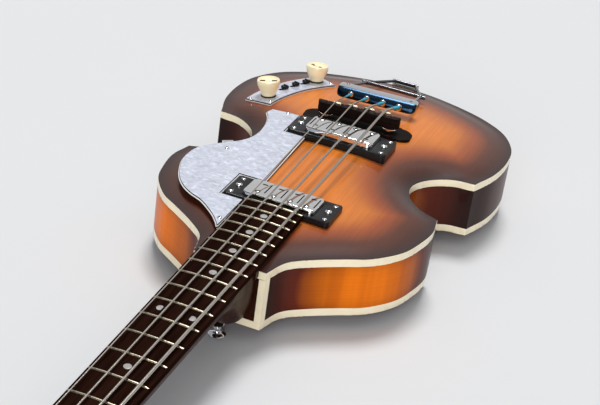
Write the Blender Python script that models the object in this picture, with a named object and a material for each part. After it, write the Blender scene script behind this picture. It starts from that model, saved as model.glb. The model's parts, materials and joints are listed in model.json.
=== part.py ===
"""Violin-shaped hollow-body electric bass guitar, built as an assembly of separate pieces.

The instrument lies on its back. +Y runs from the tail to the headstock, +X is the treble side and
+Z comes out of the top; the ground is z = 0. Most sizes are set out from three datums: the centre
line, the bridge line (where the scale length ends) and the rim plane (the upper edge of the ribs).
"""
import math

import bmesh
import bpy
from mathutils import Matrix, Vector

MM = 0.001

# Datums of the whole instrument in the part's own frame.
CENTRE_X = -1.65 * MM
BRIDGE_Y = -390.9 * MM
RIM_HEIGHT = 53.4 * MM
BACK_ARCH = 12.0 * MM
TOP_ARCH = 11.5 * MM
RIM_Z = BACK_ARCH + RIM_HEIGHT
GAP = 0.3 * MM
FOLLOW_GAP = 0.45 * MM

# Half of the body's outline, from the centre of the neck end to the centre of the tail.
NECK_END_Y = 298 * MM
NECK_END_HALF = 31.9 * MM
UPPER_BOUT = [(31.9, 298), (39.0, 273), (56.4, 255.6), (76.8, 240.3), (96.3, 225.9), (113.5, 202.2),
              (120.9, 177.8), (124.2, 152.5), (120.3, 128.1)]
WAIST = [(120.3, 128.1), (99.5, 117.5), (85.3, 99.9), (80.8, 78.7), (89.6, 58.5), (108.3, 43.5),
         (129.1, 40.0)]
LOWER_BOUT = [(129.1, 40.0), (139.1, 7.3), (141.9, -27.2), (137.5, -58.0), (121.4, -88.0),
              (95.9, -109.0), (66.1, -123.0), (32.0, -133.0), (0.0, -137.0)]
TAIL_Y = -137 * MM

# Body construction.
BINDING_HEIGHT = 6.9 * MM
BINDING_THICKNESS = 1.8 * MM
PLATE_THICKNESS = 3.5 * MM
RIB_THICKNESS = 2.5 * MM
LINING_DEPTH = 8 * MM
LINING_HEIGHT = 5.5 * MM
PLATE_COLUMNS = 12
BRACE_X = 54 * MM
REST_FLAT = 0.45 * MM

# Neck and fretboard, set out along the strings from the bridge line.
SCALE_LENGTH = 762 * MM
FRET_COUNT = 22
NECK_PITCH = math.radians(3.62)
PITCH_POINT_Y = 150 * MM
BOARD_RISE = 17.99 * MM
NUT_WIDTH = 42.1 * MM
LAST_FRET_WIDTH = 53.6 * MM
BOARD_THICKNESS = 6 * MM
BOARD_RADIUS = 300 * MM
BOARD_END = 212 * MM
FRET_HEIGHT = 1.1 * MM
FRET_HALF_WIDTH = 1.35 * MM
NECK_JOINT = 301.2 * MM
HEEL_BOTTOM = 51 * MM
TRUSS_ROD_START = 320 * MM
TRUSS_ROD_END = 768 * MM
TRUSS_CHANNEL = 6 * MM
TRUSS_ROD_RADIUS = 2.4 * MM
TRUSS_ROD_LEVEL = -11.6 * MM

# Headstock and tuners.
HEAD_PITCH = math.radians(4.97)
HEAD_START = 768 * MM
HEAD_THICKNESS = 13.5 * MM
HEAD_OUTLINE = [(0, 21.2), (14, 21.8), (30, 29), (50, 34), (80, 34.5), (112, 36), (140, 35),
                (156, 28), (165, 14)]
TUNER_Y = (34 * MM, 94 * MM)
POST_X = 21 * MM
POST_RADIUS = 4.5 * MM
POST_HEIGHT = 15 * MM
GEAR_RADIUS = 6 * MM
WORM_RADIUS = 2.9 * MM
WORM_OFFSET = GEAR_RADIUS + WORM_RADIUS + 0.2 * MM
KEY_DEPTH = 18.2 * MM
KEY_REACH = 21 * MM

# Pickups: a plastic ring with a metal cover that two screws raise and lower.
RING_LENGTH = 97 * MM
RING_WIDTH = 37 * MM
COVER_LENGTH = 66 * MM
COVER_WIDTH = 28.5 * MM
COVER_DEPTH = 17 * MM
HEIGHT_SCREW_X = 41.5 * MM
TAB_LENGTH = 2 * HEIGHT_SCREW_X + 8 * MM
PICKUPS = {"neck": (192.2 * MM, 11.0 * MM, 15.0 * MM), "bridge": (53.6 * MM, 18.0 * MM, 23.6 * MM)}

# Floating wooden bridge.
BRIDGE_CENTRE_Y = 11 * MM
BRIDGE_TURN = math.radians(5)
BASE_HALF_LENGTH = 53 * MM
BASE_WIDTH = 26 * MM
CARRIER_HALF_LENGTH = 40.5 * MM
CARRIER_WIDTH = 13 * MM
CARRIER_BOTTOM = 19.2 * MM
CARRIER_TOP = 29.4 * MM
WHEEL_X = 31 * MM
WHEEL_RADIUS = 8 * MM
SADDLE_HEIGHT = 1.0 * MM

# Strings, bass to treble: node letter, radius, place at nut, saddle, saddle line and tailpiece.
STRINGS = [("e", 1.33, -16.6, -23.4, 4.0, -25.0), ("a", 1.08, -5.6, -7.9, 6.2, -8.4),
           ("d", 0.83, 5.5, 8.0, 9.4, 8.4), ("g", 0.57, 16.6, 23.6, 13.0, 25.0)]
STRING_OVER_NUT = 1.6 * MM

# Tailpiece.
TAIL_BAR_Y = -42.5 * MM
TAIL_BAR_TURN = math.radians(3)
TAIL_BAR_HALF = 40.5 * MM
TAIL_BAR_WIDTH = 18 * MM
TAIL_BAR_TOP = 25.9 * MM
TAIL_ROD_RADIUS = 1.8 * MM

# Control plate on the treble side of the lower bout, set out along a curved centre line.
PANEL_SPINE = [(103.5, 11.5), (100.2, -8.0), (94.5, -28.5), (86.6, -48.5), (76.0, -67.5), (66.5, -81.5)]
PANEL_HALF_WIDTH = 14 * MM
PANEL_THICKNESS = 2.3 * MM
KNOB_PLACES = {"volume_knob_bass": (99.5, -5.5), "volume_knob_treble": (75.2, -71.5)}
KNOB_RADIUS = 11.2 * MM
SWITCH_PLACES = {"switch_lever_rhythm": (92.2, -30.8), "switch_lever_bass": (86.5, -45.0),
                 "switch_lever_treble": (80.7, -58.2)}
SWITCH_DIRECTION = Vector((0.55, 0.83, 0)).normalized()
SWITCH_TRAVEL = 4.5 * MM

# Pickguard: a flat sheet that slopes with the strings, clear of the top.
GUARD_LEVEL = 15.6 * MM
GUARD_LEVEL_Y = 60 * MM
GUARD_SLOPE = 0.038
GUARD_THICKNESS = 2.4 * MM
GUARD_NECK_CURVE = [(28.0, 266), (32.8, 258.2), (39.8, 249.4), (48.2, 241.4), (59.0, 232.7), (71.3, 226.8),
                    (81.7, 219.3), (90.8, 208.8), (97.6, 196.3), (104.0, 178.8), (105.5, 164.1),
                    (103.6, 150.0), (96.0, 136.9), (86.4, 125.5), (76.7, 114.1), (71.5, 103.3),
                    (69.5, 89.9), (70.7, 73.6), (74.2, 58.6), (80.6, 46.5)]
GUARD_STRING_EDGE = [(78.0, 37.5), (60.7, 34.9), (49.6, 34.5), (49.6, 73.2), (29.2, 73.2), (25.6, 172.6),
                     (49.6, 172.6), (49.6, 211.8), (28.0, 211.8)]

# Output jack and strap buttons.
JACK_Y = -27.2 * MM
JACK_BARREL_RADIUS = 6 * MM
JACK_BORE_RADIUS = 3.3 * MM
JACK_FLANGE_RADIUS = 11 * MM
JACK_DEPTH = 22 * MM
STRAP_BUTTON_RADIUS = 7.5 * MM
STRAP_BUTTON_HEIGHT = 11.5 * MM

# Colour, roughness and metallic value of each finish.
FINISHES = {
    "sunburst_top": ((0.52, 0.17, 0.045), 0.12, 0.0),
    "sunburst_rib": ((0.45, 0.13, 0.02), 0.12, 0.0),
    "cream_binding": ((0.80, 0.66, 0.42), 0.3, 0.0),
    "raw_spruce": ((0.62, 0.45, 0.26), 0.7, 0.0),
    "dark_neck": ((0.05, 0.015, 0.008), 0.15, 0.0),
    "rosewood": ((0.035, 0.015, 0.01), 0.45, 0.0),
    "ebony": ((0.018, 0.012, 0.01), 0.4, 0.0),
    "bone": ((0.85, 0.8, 0.68), 0.35, 0.0),
    "steel": ((0.55, 0.54, 0.52), 0.3, 1.0),
    "chrome": ((0.8, 0.8, 0.82), 0.08, 1.0),
    "nickel": ((0.72, 0.7, 0.66), 0.18, 1.0),
    "pearl": ((0.82, 0.82, 0.86), 0.2, 0.0),
    "black_plastic": ((0.02, 0.02, 0.022), 0.3, 0.0),
    "cream_knob": ((0.86, 0.7, 0.4), 0.3, 0.0),
    "string_steel": ((0.6, 0.56, 0.52), 0.3, 1.0),
}


# ---------------------------------------------------------------- scene and material helpers

def clear_scene():
    for item in list(bpy.data.objects):
        bpy.data.objects.remove(item, do_unlink=True)


def material(name):
    found = bpy.data.materials.get(name)
    if found:
        return found
    colour, roughness, metallic = FINISHES[name]
    made = bpy.data.materials.new(name)
    made.use_nodes = True
    shader = made.node_tree.nodes["Principled BSDF"]
    shader.inputs["Base Color"].default_value = (*colour, 1)
    shader.inputs["Roughness"].default_value = roughness
    shader.inputs["Metallic"].default_value = metallic
    return made


def frame_empty(name, matrix):
    """A datum that pieces are parented to."""
    empty = bpy.data.objects.new(name, None)
    bpy.context.scene.collection.objects.link(empty)
    empty.matrix_world = matrix
    return empty


def piece(name, bm, finish, parent, place=(0, 0, 0), smooth=False):
    """Turn a bmesh into a named object under a datum."""
    bmesh.ops.remove_doubles(bm, verts=bm.verts, dist=1e-6)
    bmesh.ops.recalc_face_normals(bm, faces=bm.faces)
    mesh = bpy.data.meshes.new(name)
    bm.to_mesh(mesh)
    bm.free()
    mesh.materials.append(material(finish))
    if smooth:
        mesh.shade_smooth()
        mesh.set_sharp_from_angle(angle=math.radians(35))
    made = bpy.data.objects.new(name, mesh)
    bpy.context.scene.collection.objects.link(made)
    made.parent = parent
    made.location = place
    return made


def boolean(target, tool_bm, operation="DIFFERENCE"):
    """Cut a shape out of a piece, or join one on, in the piece's own coordinates."""
    tool = piece(f"{target.name}.tool", tool_bm, "steel", target)
    tool.hide_render = True
    tool.display_type = "WIRE"
    modifier = target.modifiers.new("boolean", "BOOLEAN")
    modifier.operation = operation
    modifier.solver = "EXACT"
    modifier.object = tool


# ---------------------------------------------------------------- shape helpers

def loft(rings):
    """Solid through closed rings that all have the same number of points."""
    bm = bmesh.new()
    face = bm.faces.new([bm.verts.new(point) for point in rings[0]])
    for count, ring in enumerate(rings[1:]):
        grown = bmesh.ops.extrude_face_region(bm, geom=[face])["geom"]
        if count:
            bmesh.ops.delete(bm, geom=[face], context="FACES_ONLY")
        face = next(item for item in grown if isinstance(item, bmesh.types.BMFace))
        for vert, point in zip(face.verts, ring):
            vert.co = point
    return bm


def prism(points, low, high):
    """Straight solid on a flat outline."""
    return loft([[(x, y, low) for x, y in points], [(x, y, high) for x, y in points]])


def block(centre, size):
    bm = bmesh.new()
    scale = Matrix.Diagonal((*size, 1))
    bmesh.ops.create_cube(bm, size=1, matrix=Matrix.Translation(centre) @ scale)
    return bm


def rod(start, end, radius, segments=12):
    """Round bar between two points."""
    start, end = Vector(start), Vector(end)
    along = end - start
    turn = along.to_track_quat("Z", "Y").to_matrix().to_4x4()
    matrix = Matrix.Translation((start + end) / 2) @ turn
    bm = bmesh.new()
    bmesh.ops.create_cone(bm, cap_ends=True, segments=segments, radius1=radius, radius2=radius,
                          depth=along.length, matrix=matrix)
    return bm


def turned(profile, segments=24, axis=Matrix.Identity(4)):
    """Solid of revolution about Z from (radius, height) points, closed on the axis where radius is 0."""
    bm = bmesh.new()
    verts = [bm.verts.new((radius, 0, height)) for radius, height in profile]
    edges = [bm.edges.new(pair) for pair in zip(verts, verts[1:])]
    if profile[0][0] > 0:
        edges.append(bm.edges.new((verts[-1], verts[0])))
    bmesh.ops.spin(bm, geom=verts + edges, cent=(0, 0, 0), axis=(0, 0, 1), angle=math.tau, steps=segments,
                   use_merge=True)
    bmesh.ops.remove_doubles(bm, verts=bm.verts, dist=1e-6)
    bmesh.ops.transform(bm, matrix=axis, verts=bm.verts)
    return bm


def rounded_rectangle(half_x, half_y, radius, steps=4):
    points = []
    for corner, (sx, sy) in enumerate(((1, 1), (-1, 1), (-1, -1), (1, -1))):
        for step in range(steps + 1):
            angle = math.radians(90 * corner + 90 * step / steps)
            points.append((sx * (half_x - radius) + radius * math.cos(angle),
                           sy * (half_y - radius) + radius * math.sin(angle)))
    return points


def smooth_curve(points, steps):
    """Even points along a Catmull-Rom curve through (x, y) points given in millimetres."""
    path = [Vector(point) * MM for point in points]
    path = [2 * path[0] - path[1]] + path + [2 * path[-1] - path[-2]]
    made = []
    spans = len(points) - 1
    for step in range(steps + 1):
        position = step * spans / steps
        span = min(int(position), spans - 1)
        t = position - span
        a, b, c, d = path[span:span + 4]
        made.append(0.5 * (2 * b + (c - a) * t + (2 * a - 5 * b + 4 * c - d) * t * t
                           + (3 * b - a - 3 * c + d) * t ** 3))
    return made


def half_outline():
    """Outline of the treble half, from the centre of the neck end to the centre of the tail."""
    start = [Vector((0, NECK_END_Y))]
    return (start + smooth_curve(UPPER_BOUT, 9) + smooth_curve(WAIST, 7)[1:]
            + smooth_curve(LOWER_BOUT, 10)[1:])


def inset(path, distance):
    """Move a half outline inwards, mitred at its corners, keeping its ends on the centre line."""
    moved = []
    for index, point in enumerate(path):
        before = path[index] - path[index - 1] if index else None
        after = path[index + 1] - path[index] if index + 1 < len(path) else None
        if before is None or after is None:
            moved.append(Vector((0, point.y + (distance if after is None else -distance))))
            continue
        normals = [Vector((side.y, -side.x)).normalized() for side in (before, after)]
        middle = (normals[0] + normals[1]).normalized()
        moved.append(point + middle * distance / max(middle.dot(normals[0]), 0.4))
    return moved


def half_width(y):
    """Half width of the body at a distance from the bridge line, inside the binding."""
    edge = inset(half_outline(), BINDING_THICKNESS + GAP)[1:]
    for upper, lower in zip(edge, edge[1:]):
        if lower.y <= y <= upper.y:
            share = (upper.y - y) / max(upper.y - lower.y, 1e-9)
            return upper.x + (lower.x - upper.x) * share
    return NECK_END_HALF if y > 0 else 1e-4


def arching(x, y):
    """Height of a carved plate over its edge, as a share of the full arch."""
    along = max(0.0, min(1.0, (y - TAIL_Y) / (NECK_END_Y - TAIL_Y)))
    across = min(1.0, abs(x) / max(half_width(y), 1e-4))
    return math.sin(math.pi * along ** 0.771) * (1 - across ** 2.5)


def top_height(x, y):
    return TOP_ARCH * arching(x, y)


def top_normal(x, y):
    step = 4 * MM
    slope_x = (top_height(x + step, y) - top_height(x - step, y)) / (2 * step)
    slope_y = (top_height(x, y + step) - top_height(x, y - step)) / (2 * step)
    return Vector((-slope_x, -slope_y, 1)).normalized()


def on_top(x, y, lift=0.0):
    """Frame standing square on the top at a point, for a control."""
    normal = top_normal(x, y)
    turn = normal.to_track_quat("Z", "Y").to_matrix().to_4x4()
    spot = Vector((x, y, top_height(x, y))) + normal * lift
    return Matrix.Translation(spot) @ turn


def around_z(points, angle, centre):
    turn = Matrix.Rotation(angle, 2)
    return [turn @ Vector(point) + Vector(centre) for point in points]


# ---------------------------------------------------------------- body

def carved_plate(height):
    """Thin arched plate whose rows follow the outline, from a square grid; height(x, y) is its outer skin."""
    edge = inset(half_outline(), BINDING_THICKNESS + GAP)[1:]
    rows = len(edge)
    bm = bmesh.new()
    bmesh.ops.create_grid(bm, x_segments=PLATE_COLUMNS, y_segments=rows - 1, size=1)
    for vert in bm.verts:
        row = round((1 - vert.co.y) / 2 * (rows - 1))
        x = vert.co.x * edge[row].x
        y = edge[row].y
        vert.co = (x, y, height(x, y))
    inner = -PLATE_THICKNESS if height(0, 0) > 0 else PLATE_THICKNESS
    grown = bmesh.ops.extrude_face_region(bm, geom=bm.faces[:])["geom"]
    for vert in (item for item in grown if isinstance(item, bmesh.types.BMVert)):
        vert.co.z += inner
    return bm


def make_plates(body):
    top = piece("top_plate", carved_plate(top_height), "sunburst_top", body, smooth=True)
    for pickup_y, _, _ in PICKUPS.values():
        boolean(top, block((0, pickup_y, 0), (TAB_LENGTH + 1.4 * MM, COVER_WIDTH + 3 * MM, 60 * MM)))
    boolean(top, prism(panel_band(9.5 * MM, 12, 1), -20 * MM, 30 * MM))

    def back_height(x, y):
        return -RIM_HEIGHT - min(BACK_ARCH, (BACK_ARCH + REST_FLAT) * arching(x, y))

    piece("back_plate", carved_plate(back_height), "sunburst_rib", body, smooth=True)


def make_ribs(body):
    """Bent sides with the linings that the plates are glued to."""
    outer = half_outline()
    bottom = -RIM_HEIGHT
    seat = BINDING_HEIGHT + GAP
    ledge = PLATE_THICKNESS + GAP
    step = BINDING_THICKNESS + GAP
    lining = ledge + LINING_HEIGHT
    section = [(0, -seat), (step, -seat), (step, -ledge), (LINING_DEPTH, -ledge), (LINING_DEPTH, -lining),
               (RIB_THICKNESS, -lining - 6 * MM), (RIB_THICKNESS, bottom + lining + 6 * MM),
               (LINING_DEPTH, bottom + lining), (LINING_DEPTH, bottom + ledge), (step, bottom + ledge),
               (step, bottom + seat), (0, bottom + seat)]
    lines = {depth: inset(outer, depth) for depth in {depth for depth, _ in section}}
    for name, side in (("rib_treble_side", 1), ("rib_bass_side", -1)):
        rings = []
        for index in range(len(outer)):
            near_centre = GAP / 2 if index in (0, len(outer) - 1) else 0
            rings.append([(side * max(lines[depth][index].x, near_centre), lines[depth][index].y, level)
                          for depth, level in section])
        rib = piece(name, loft(rings), "sunburst_rib", body, smooth=True)
        if side > 0:
            hole = JACK_BARREL_RADIUS + GAP
            boolean(rib, rod((120 * MM, JACK_Y, bottom / 2), (160 * MM, JACK_Y, bottom / 2), hole, 20))


def make_binding(name, low, high, body):
    outer = half_outline()
    loops = []
    for distance in (0, BINDING_THICKNESS):
        line = inset(outer, distance)
        loops.append(line + [Vector((-point.x, point.y)) for point in reversed(line[1:-1])])
    bm = bmesh.new()
    edges = []
    for loop in loops:
        verts = [bm.verts.new((point.x, point.y, low)) for point in loop]
        edges += [bm.edges.new((verts[index - 1], verts[index])) for index in range(len(verts))]
    bmesh.ops.bridge_loops(bm, edges=edges)
    grown = bmesh.ops.extrude_face_region(bm, geom=bm.faces[:])["geom"]
    for vert in (item for item in grown if isinstance(item, bmesh.types.BMVert)):
        vert.co.z = high
    piece(name, bm, "cream_binding", body)


def make_inner_frame(body):
    """Blocks at both ends and two tone bars, all hidden inside the body."""
    high = -PLATE_THICKNESS - 2 * GAP
    low = -RIM_HEIGHT - high
    inside = LINING_DEPTH + 2 * GAP
    neck_y = NECK_END_Y - inside
    piece("neck_block", block((0, neck_y - 22 * MM, (low + high) / 2), (42 * MM, 44 * MM, high - low)),
          "raw_spruce", body)
    tail_line = [point for point in inset(half_outline(), inside) if point.y < 0 and point.x < 42 * MM]
    front_x = tail_line[0].x
    front_y = tail_line[0].y + 24 * MM
    shape = [(front_x, front_y), (-front_x, front_y)] + [(-point.x, point.y) for point in tail_line]
    shape += [(point.x, point.y) for point in reversed(tail_line)]
    piece("tail_block", prism(shape, low, high), "raw_spruce", body)
    for name, side in (("brace_treble", 1), ("brace_bass", -1)):
        rings = []
        for step in range(13):
            y = (-92 + 24 * step) * MM
            scoop = math.sin(math.pi * (step + 0.6) / 13.2)
            spot = side * BRACE_X
            under = min(top_height(spot - 4 * MM, y), top_height(spot + 4 * MM, y))
            under -= PLATE_THICKNESS + 2 * FOLLOW_GAP
            rings.append([(spot - 4 * MM, y, under), (spot + 4 * MM, y, under),
                          (spot + 3 * MM, y, under - (3 + 9 * scoop) * MM),
                          (spot - 3 * MM, y, under - (3 + 9 * scoop) * MM)])
        piece(name, loft(rings), "raw_spruce", body)


# ---------------------------------------------------------------- neck

def board_half_width(y):
    """Half width of the fretboard at a distance from the bridge line."""
    last_fret = SCALE_LENGTH * 2 ** (-FRET_COUNT / 12)
    share = (SCALE_LENGTH - y) / (SCALE_LENGTH - last_fret)
    return (NUT_WIDTH + (LAST_FRET_WIDTH - NUT_WIDTH) * share) / 2


def board_drop(x):
    return BOARD_RADIUS - math.sqrt(BOARD_RADIUS ** 2 - x * x)


def make_fretboard(neck):
    """Cambered board with its frets as ridges across it."""
    stations = [(BOARD_END, 0)]
    for fret in range(FRET_COUNT, 0, -1):
        y = SCALE_LENGTH * 2 ** (-fret / 12)
        for offset, rise in ((-1, 0), (-0.45, 1), (0.45, 1), (1, 0)):
            stations.append((y + offset * FRET_HALF_WIDTH, rise * FRET_HEIGHT))
    stations.append((SCALE_LENGTH + 1 * MM, 0))
    rings = []
    for y, rise in stations:
        half = board_half_width(y)
        across = [half * share for share in (-1, -0.35, 0.35, 1)]
        rings.append([(half, y, -BOARD_THICKNESS), (-half, y, -BOARD_THICKNESS)]
                     + [(x, y, rise - board_drop(x)) for x in across])
    piece("fretboard", loft(rings), "rosewood", neck)


def neck_ring(y, half, top, depth, roundness=1.0):
    """Cross-section of the neck: flat under the board, rounded behind."""
    ring = [(half, y, top), (-half, y, top)]
    for step in range(9):
        angle = math.pi * (1 + step / 8)
        power = roundness
        x = math.copysign(abs(math.cos(angle)) ** power, math.cos(angle))
        z = -abs(math.sin(angle)) ** power
        ring.append((half * x, y, top - 1.5 * MM + z * (depth - 1.5 * MM)))
    return ring


def make_neck(neck, head):
    top = -BOARD_THICKNESS - GAP
    heel = HEEL_BOTTOM + 2 * MM
    rings = []
    for y, depth, narrow, roundness in ((0, heel - 1.5 * MM, 0.86, 0.55), (8, heel - 1.5 * MM, 0.84, 0.6),
                                        (18, heel - 6 * MM, 0.80, 0.7), (27, 36 * MM, 0.86, 0.8),
                                        (36, 25 * MM, 0.94, 0.85), (50, 19.5 * MM, 1.0, 0.9),
                                        (90, 18 * MM, 1.0, 0.95), (250, 17 * MM, 1.0, 1.0),
                                        (430, 16 * MM, 1.0, 1.0), (452, 16 * MM, 1.0, 0.9)):
        place = NECK_JOINT + y * MM
        rings.append(neck_ring(place, board_half_width(place) * (1 if y > 40 else 0.5 + narrow / 2),
                               top, depth, roundness))
    to_neck = neck.matrix_world.inverted() @ head.matrix_world
    for y, half in HEAD_OUTLINE:
        ring = neck_ring(y * MM, half * MM, 0, HEAD_THICKNESS, 0.35)
        rings.append([to_neck @ Vector(point) for point in ring])
    shape = loft(rings)
    bmesh.ops.triangulate(shape, faces=shape.faces)
    made = piece("neck", shape, "dark_neck", neck, smooth=True)
    for side in (-1, 1):
        for y in TUNER_Y:
            hole = rod((side * POST_X, y, -40 * MM), (side * POST_X, y, 20 * MM), POST_RADIUS + GAP, 16)
            bmesh.ops.transform(hole, matrix=to_neck, verts=hole.verts)
            boolean(made, hole)
    pocket = block((0, 18.5 * MM, 0), (9 * MM, 23 * MM, 18.5 * MM))
    bmesh.ops.transform(pocket, matrix=to_neck, verts=pocket.verts)
    boolean(made, pocket)
    channel_end = HEAD_START + 8 * MM
    channel_length = channel_end - (TRUSS_ROD_START - 2 * MM)
    boolean(made, block((0, channel_end - channel_length / 2, top), (TRUSS_CHANNEL, channel_length, 18 * MM)))
    half = board_half_width(260 * MM) - 0.6 * MM
    tongue = [[(-half, y, top - 0.05 * MM), (half, y, top - 0.05 * MM), (half, y, top - 2 * MM),
               (-half, y, top - 2 * MM)] for y in (BOARD_END + 4 * MM, NECK_JOINT + 6 * MM)]
    boolean(made, loft(tongue), "UNION")


def make_neck_hardware(neck, head):
    piece("nut", loft([[(-21.2 * MM, y, -4.6 * MM), (21.2 * MM, y, -4.6 * MM), (21.2 * MM, y, high),
                        (0, y, high + 0.6 * MM), (-21.2 * MM, y, high)]
                       for y, high in ((764 * MM, -0.6 * MM), (768.5 * MM, -1.2 * MM))]), "bone", neck)
    start = (0, TRUSS_ROD_START, TRUSS_ROD_LEVEL)
    end = (0, TRUSS_ROD_END, TRUSS_ROD_LEVEL)
    piece("truss_rod", rod(start, end, TRUSS_ROD_RADIUS, 10), "steel", neck)
    piece("truss_rod_nut", turned([(0, 0), (2.7 * MM, 0), (2.7 * MM, 11 * MM), (0, 11 * MM)], 6,
                                  Matrix.Rotation(-math.pi / 2, 4, "X")), "steel", neck,
          (0, TRUSS_ROD_END + 0.4 * MM, TRUSS_ROD_LEVEL))
    cover = [(-9, 6), (9, 6), (10, 14), (8, 26), (4.5, 36), (0, 40), (-4.5, 36), (-8, 26), (-10, 14)]
    shape = prism([(x * MM, y * MM) for x, y in cover], GAP, 2.2 * MM)
    piece("truss_rod_cover", shape, "black_plastic", head)


def make_tuners(head):
    """Four open-geared tuners: a plate, a string post with its gear, and a worm shaft with its key."""
    back = -HEAD_THICKNESS - GAP
    plate_back = back - 1.2 * MM
    for row, y in enumerate(TUNER_Y):
        for side in (-1, 1):
            name = {(0, -1): "e", (1, -1): "a", (1, 1): "d", (0, 1): "g"}[(row, side)]
            post_x = side * POST_X
            worm_y = y - WORM_OFFSET
            sheet = block((post_x, y - 4 * MM, (back + plate_back) / 2),
                          (22 * MM, 26 * MM, back - plate_back))
            plate = piece(f"tuner_plate_{name}", sheet, "nickel", head)
            boolean(plate, rod((post_x, y, back - 9 * MM), (post_x, y, back + 5 * MM), POST_RADIUS + GAP, 16))
            for ear_x in (-8.5 * MM, 8.5 * MM):
                ear = block((post_x + ear_x, worm_y, -KEY_DEPTH), (2 * MM, 7 * MM, 7.6 * MM))
                boolean(plate, ear, "UNION")
            ends = [(post_x + reach, worm_y, -KEY_DEPTH) for reach in (-20 * MM, 20 * MM)]
            boolean(plate, rod(*ends, 1.65 * MM, 12))
            gear_top = plate_back - GAP
            post = [(0, POST_HEIGHT), (3.6 * MM, POST_HEIGHT), (POST_RADIUS, POST_HEIGHT - 1 * MM),
                    (3.7 * MM, POST_HEIGHT - 4 * MM), (3.7 * MM, POST_HEIGHT - 9 * MM),
                    (POST_RADIUS, POST_HEIGHT - 12 * MM), (POST_RADIUS, gear_top), (GEAR_RADIUS, gear_top),
                    (GEAR_RADIUS, gear_top - 4.6 * MM), (0, gear_top - 4.6 * MM)]
            piece(f"tuner_post_{name}", turned(post, 16), "nickel", head, (post_x, y, 0), smooth=True)
            along = Matrix.Rotation(side * math.pi / 2, 4, "Y")
            start = -9.8 * MM
            reach = KEY_REACH
            worm = [(0, start), (1.5 * MM, start), (1.5 * MM, -6.6 * MM), (WORM_RADIUS, -6.2 * MM),
                    (WORM_RADIUS, 6.2 * MM), (1.5 * MM, 6.6 * MM), (1.5 * MM, reach),
                    (3.2 * MM, reach + 1 * MM), (3.2 * MM, reach + 4 * MM), (1.8 * MM, reach + 6 * MM),
                    (0, reach + 6 * MM)]
            key = piece(f"tuner_key_{name}", turned(worm, 12, along), "nickel", head,
                        (post_x, worm_y, -KEY_DEPTH), smooth=True)
            button = prism([(x, z) for x, z in rounded_rectangle(7 * MM, 10.5 * MM, 6.5 * MM, 4)],
                           -2.4 * MM, 2.4 * MM)
            shift = Matrix.Translation((side * (reach + 12 * MM), 0, 0))
            bmesh.ops.transform(button, matrix=shift, verts=button.verts)
            boolean(key, button, "UNION")


# ---------------------------------------------------------------- strings, bridge and tailpiece

def bridge_frame(body):
    return Matrix.Translation((0, BRIDGE_CENTRE_Y, 0)) @ Matrix.Rotation(BRIDGE_TURN, 4, "Z")


def string_anchor(radius, saddle, tail_x):
    """Where a string leaves the tailpiece and where it bends over its saddle."""
    tail = Vector((tail_x * MM, TAIL_BAR_Y + 5 * MM, TAIL_BAR_TOP - 5.5 * MM))
    crown = CARRIER_TOP + SADDLE_HEIGHT + radius + GAP
    return tail, Vector((saddle[0] * MM, saddle[1] * MM, crown))


def make_strings(body, neck, head):
    to_body = body.matrix_world.inverted() @ neck.matrix_world
    head_to_body = body.matrix_world.inverted() @ head.matrix_world
    for letter, radius, nut_x, saddle_x, saddle_y, tail_x in STRINGS:
        radius *= MM
        row = 0 if letter in "eg" else 1
        side = -1 if letter in "ea" else 1
        post_side = side * (POST_X - POST_RADIUS - GAP - radius)
        tail, crown = string_anchor(radius, (saddle_x, saddle_y), tail_x)
        run = [tail, crown, to_body @ Vector((nut_x * MM, 766 * MM, STRING_OVER_NUT + radius)),
               head_to_body @ Vector((post_side, TUNER_Y[row], POST_HEIGHT - 6.5 * MM))]
        spline_curve = bpy.data.curves.new(f"string_{letter}", "CURVE")
        spline_curve.dimensions = "3D"
        spline_curve.bevel_depth = radius
        spline_curve.bevel_resolution = 2
        spline_curve.use_fill_caps = True
        spline = spline_curve.splines.new("POLY")
        spline.points.add(len(run) - 1)
        for point, place in zip(spline.points, run):
            point.co = (*place, 1)
        spline_curve.materials.append(material("string_steel"))
        made = bpy.data.objects.new(f"string_{letter}", spline_curve)
        bpy.context.scene.collection.objects.link(made)
        made.parent = body


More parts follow.
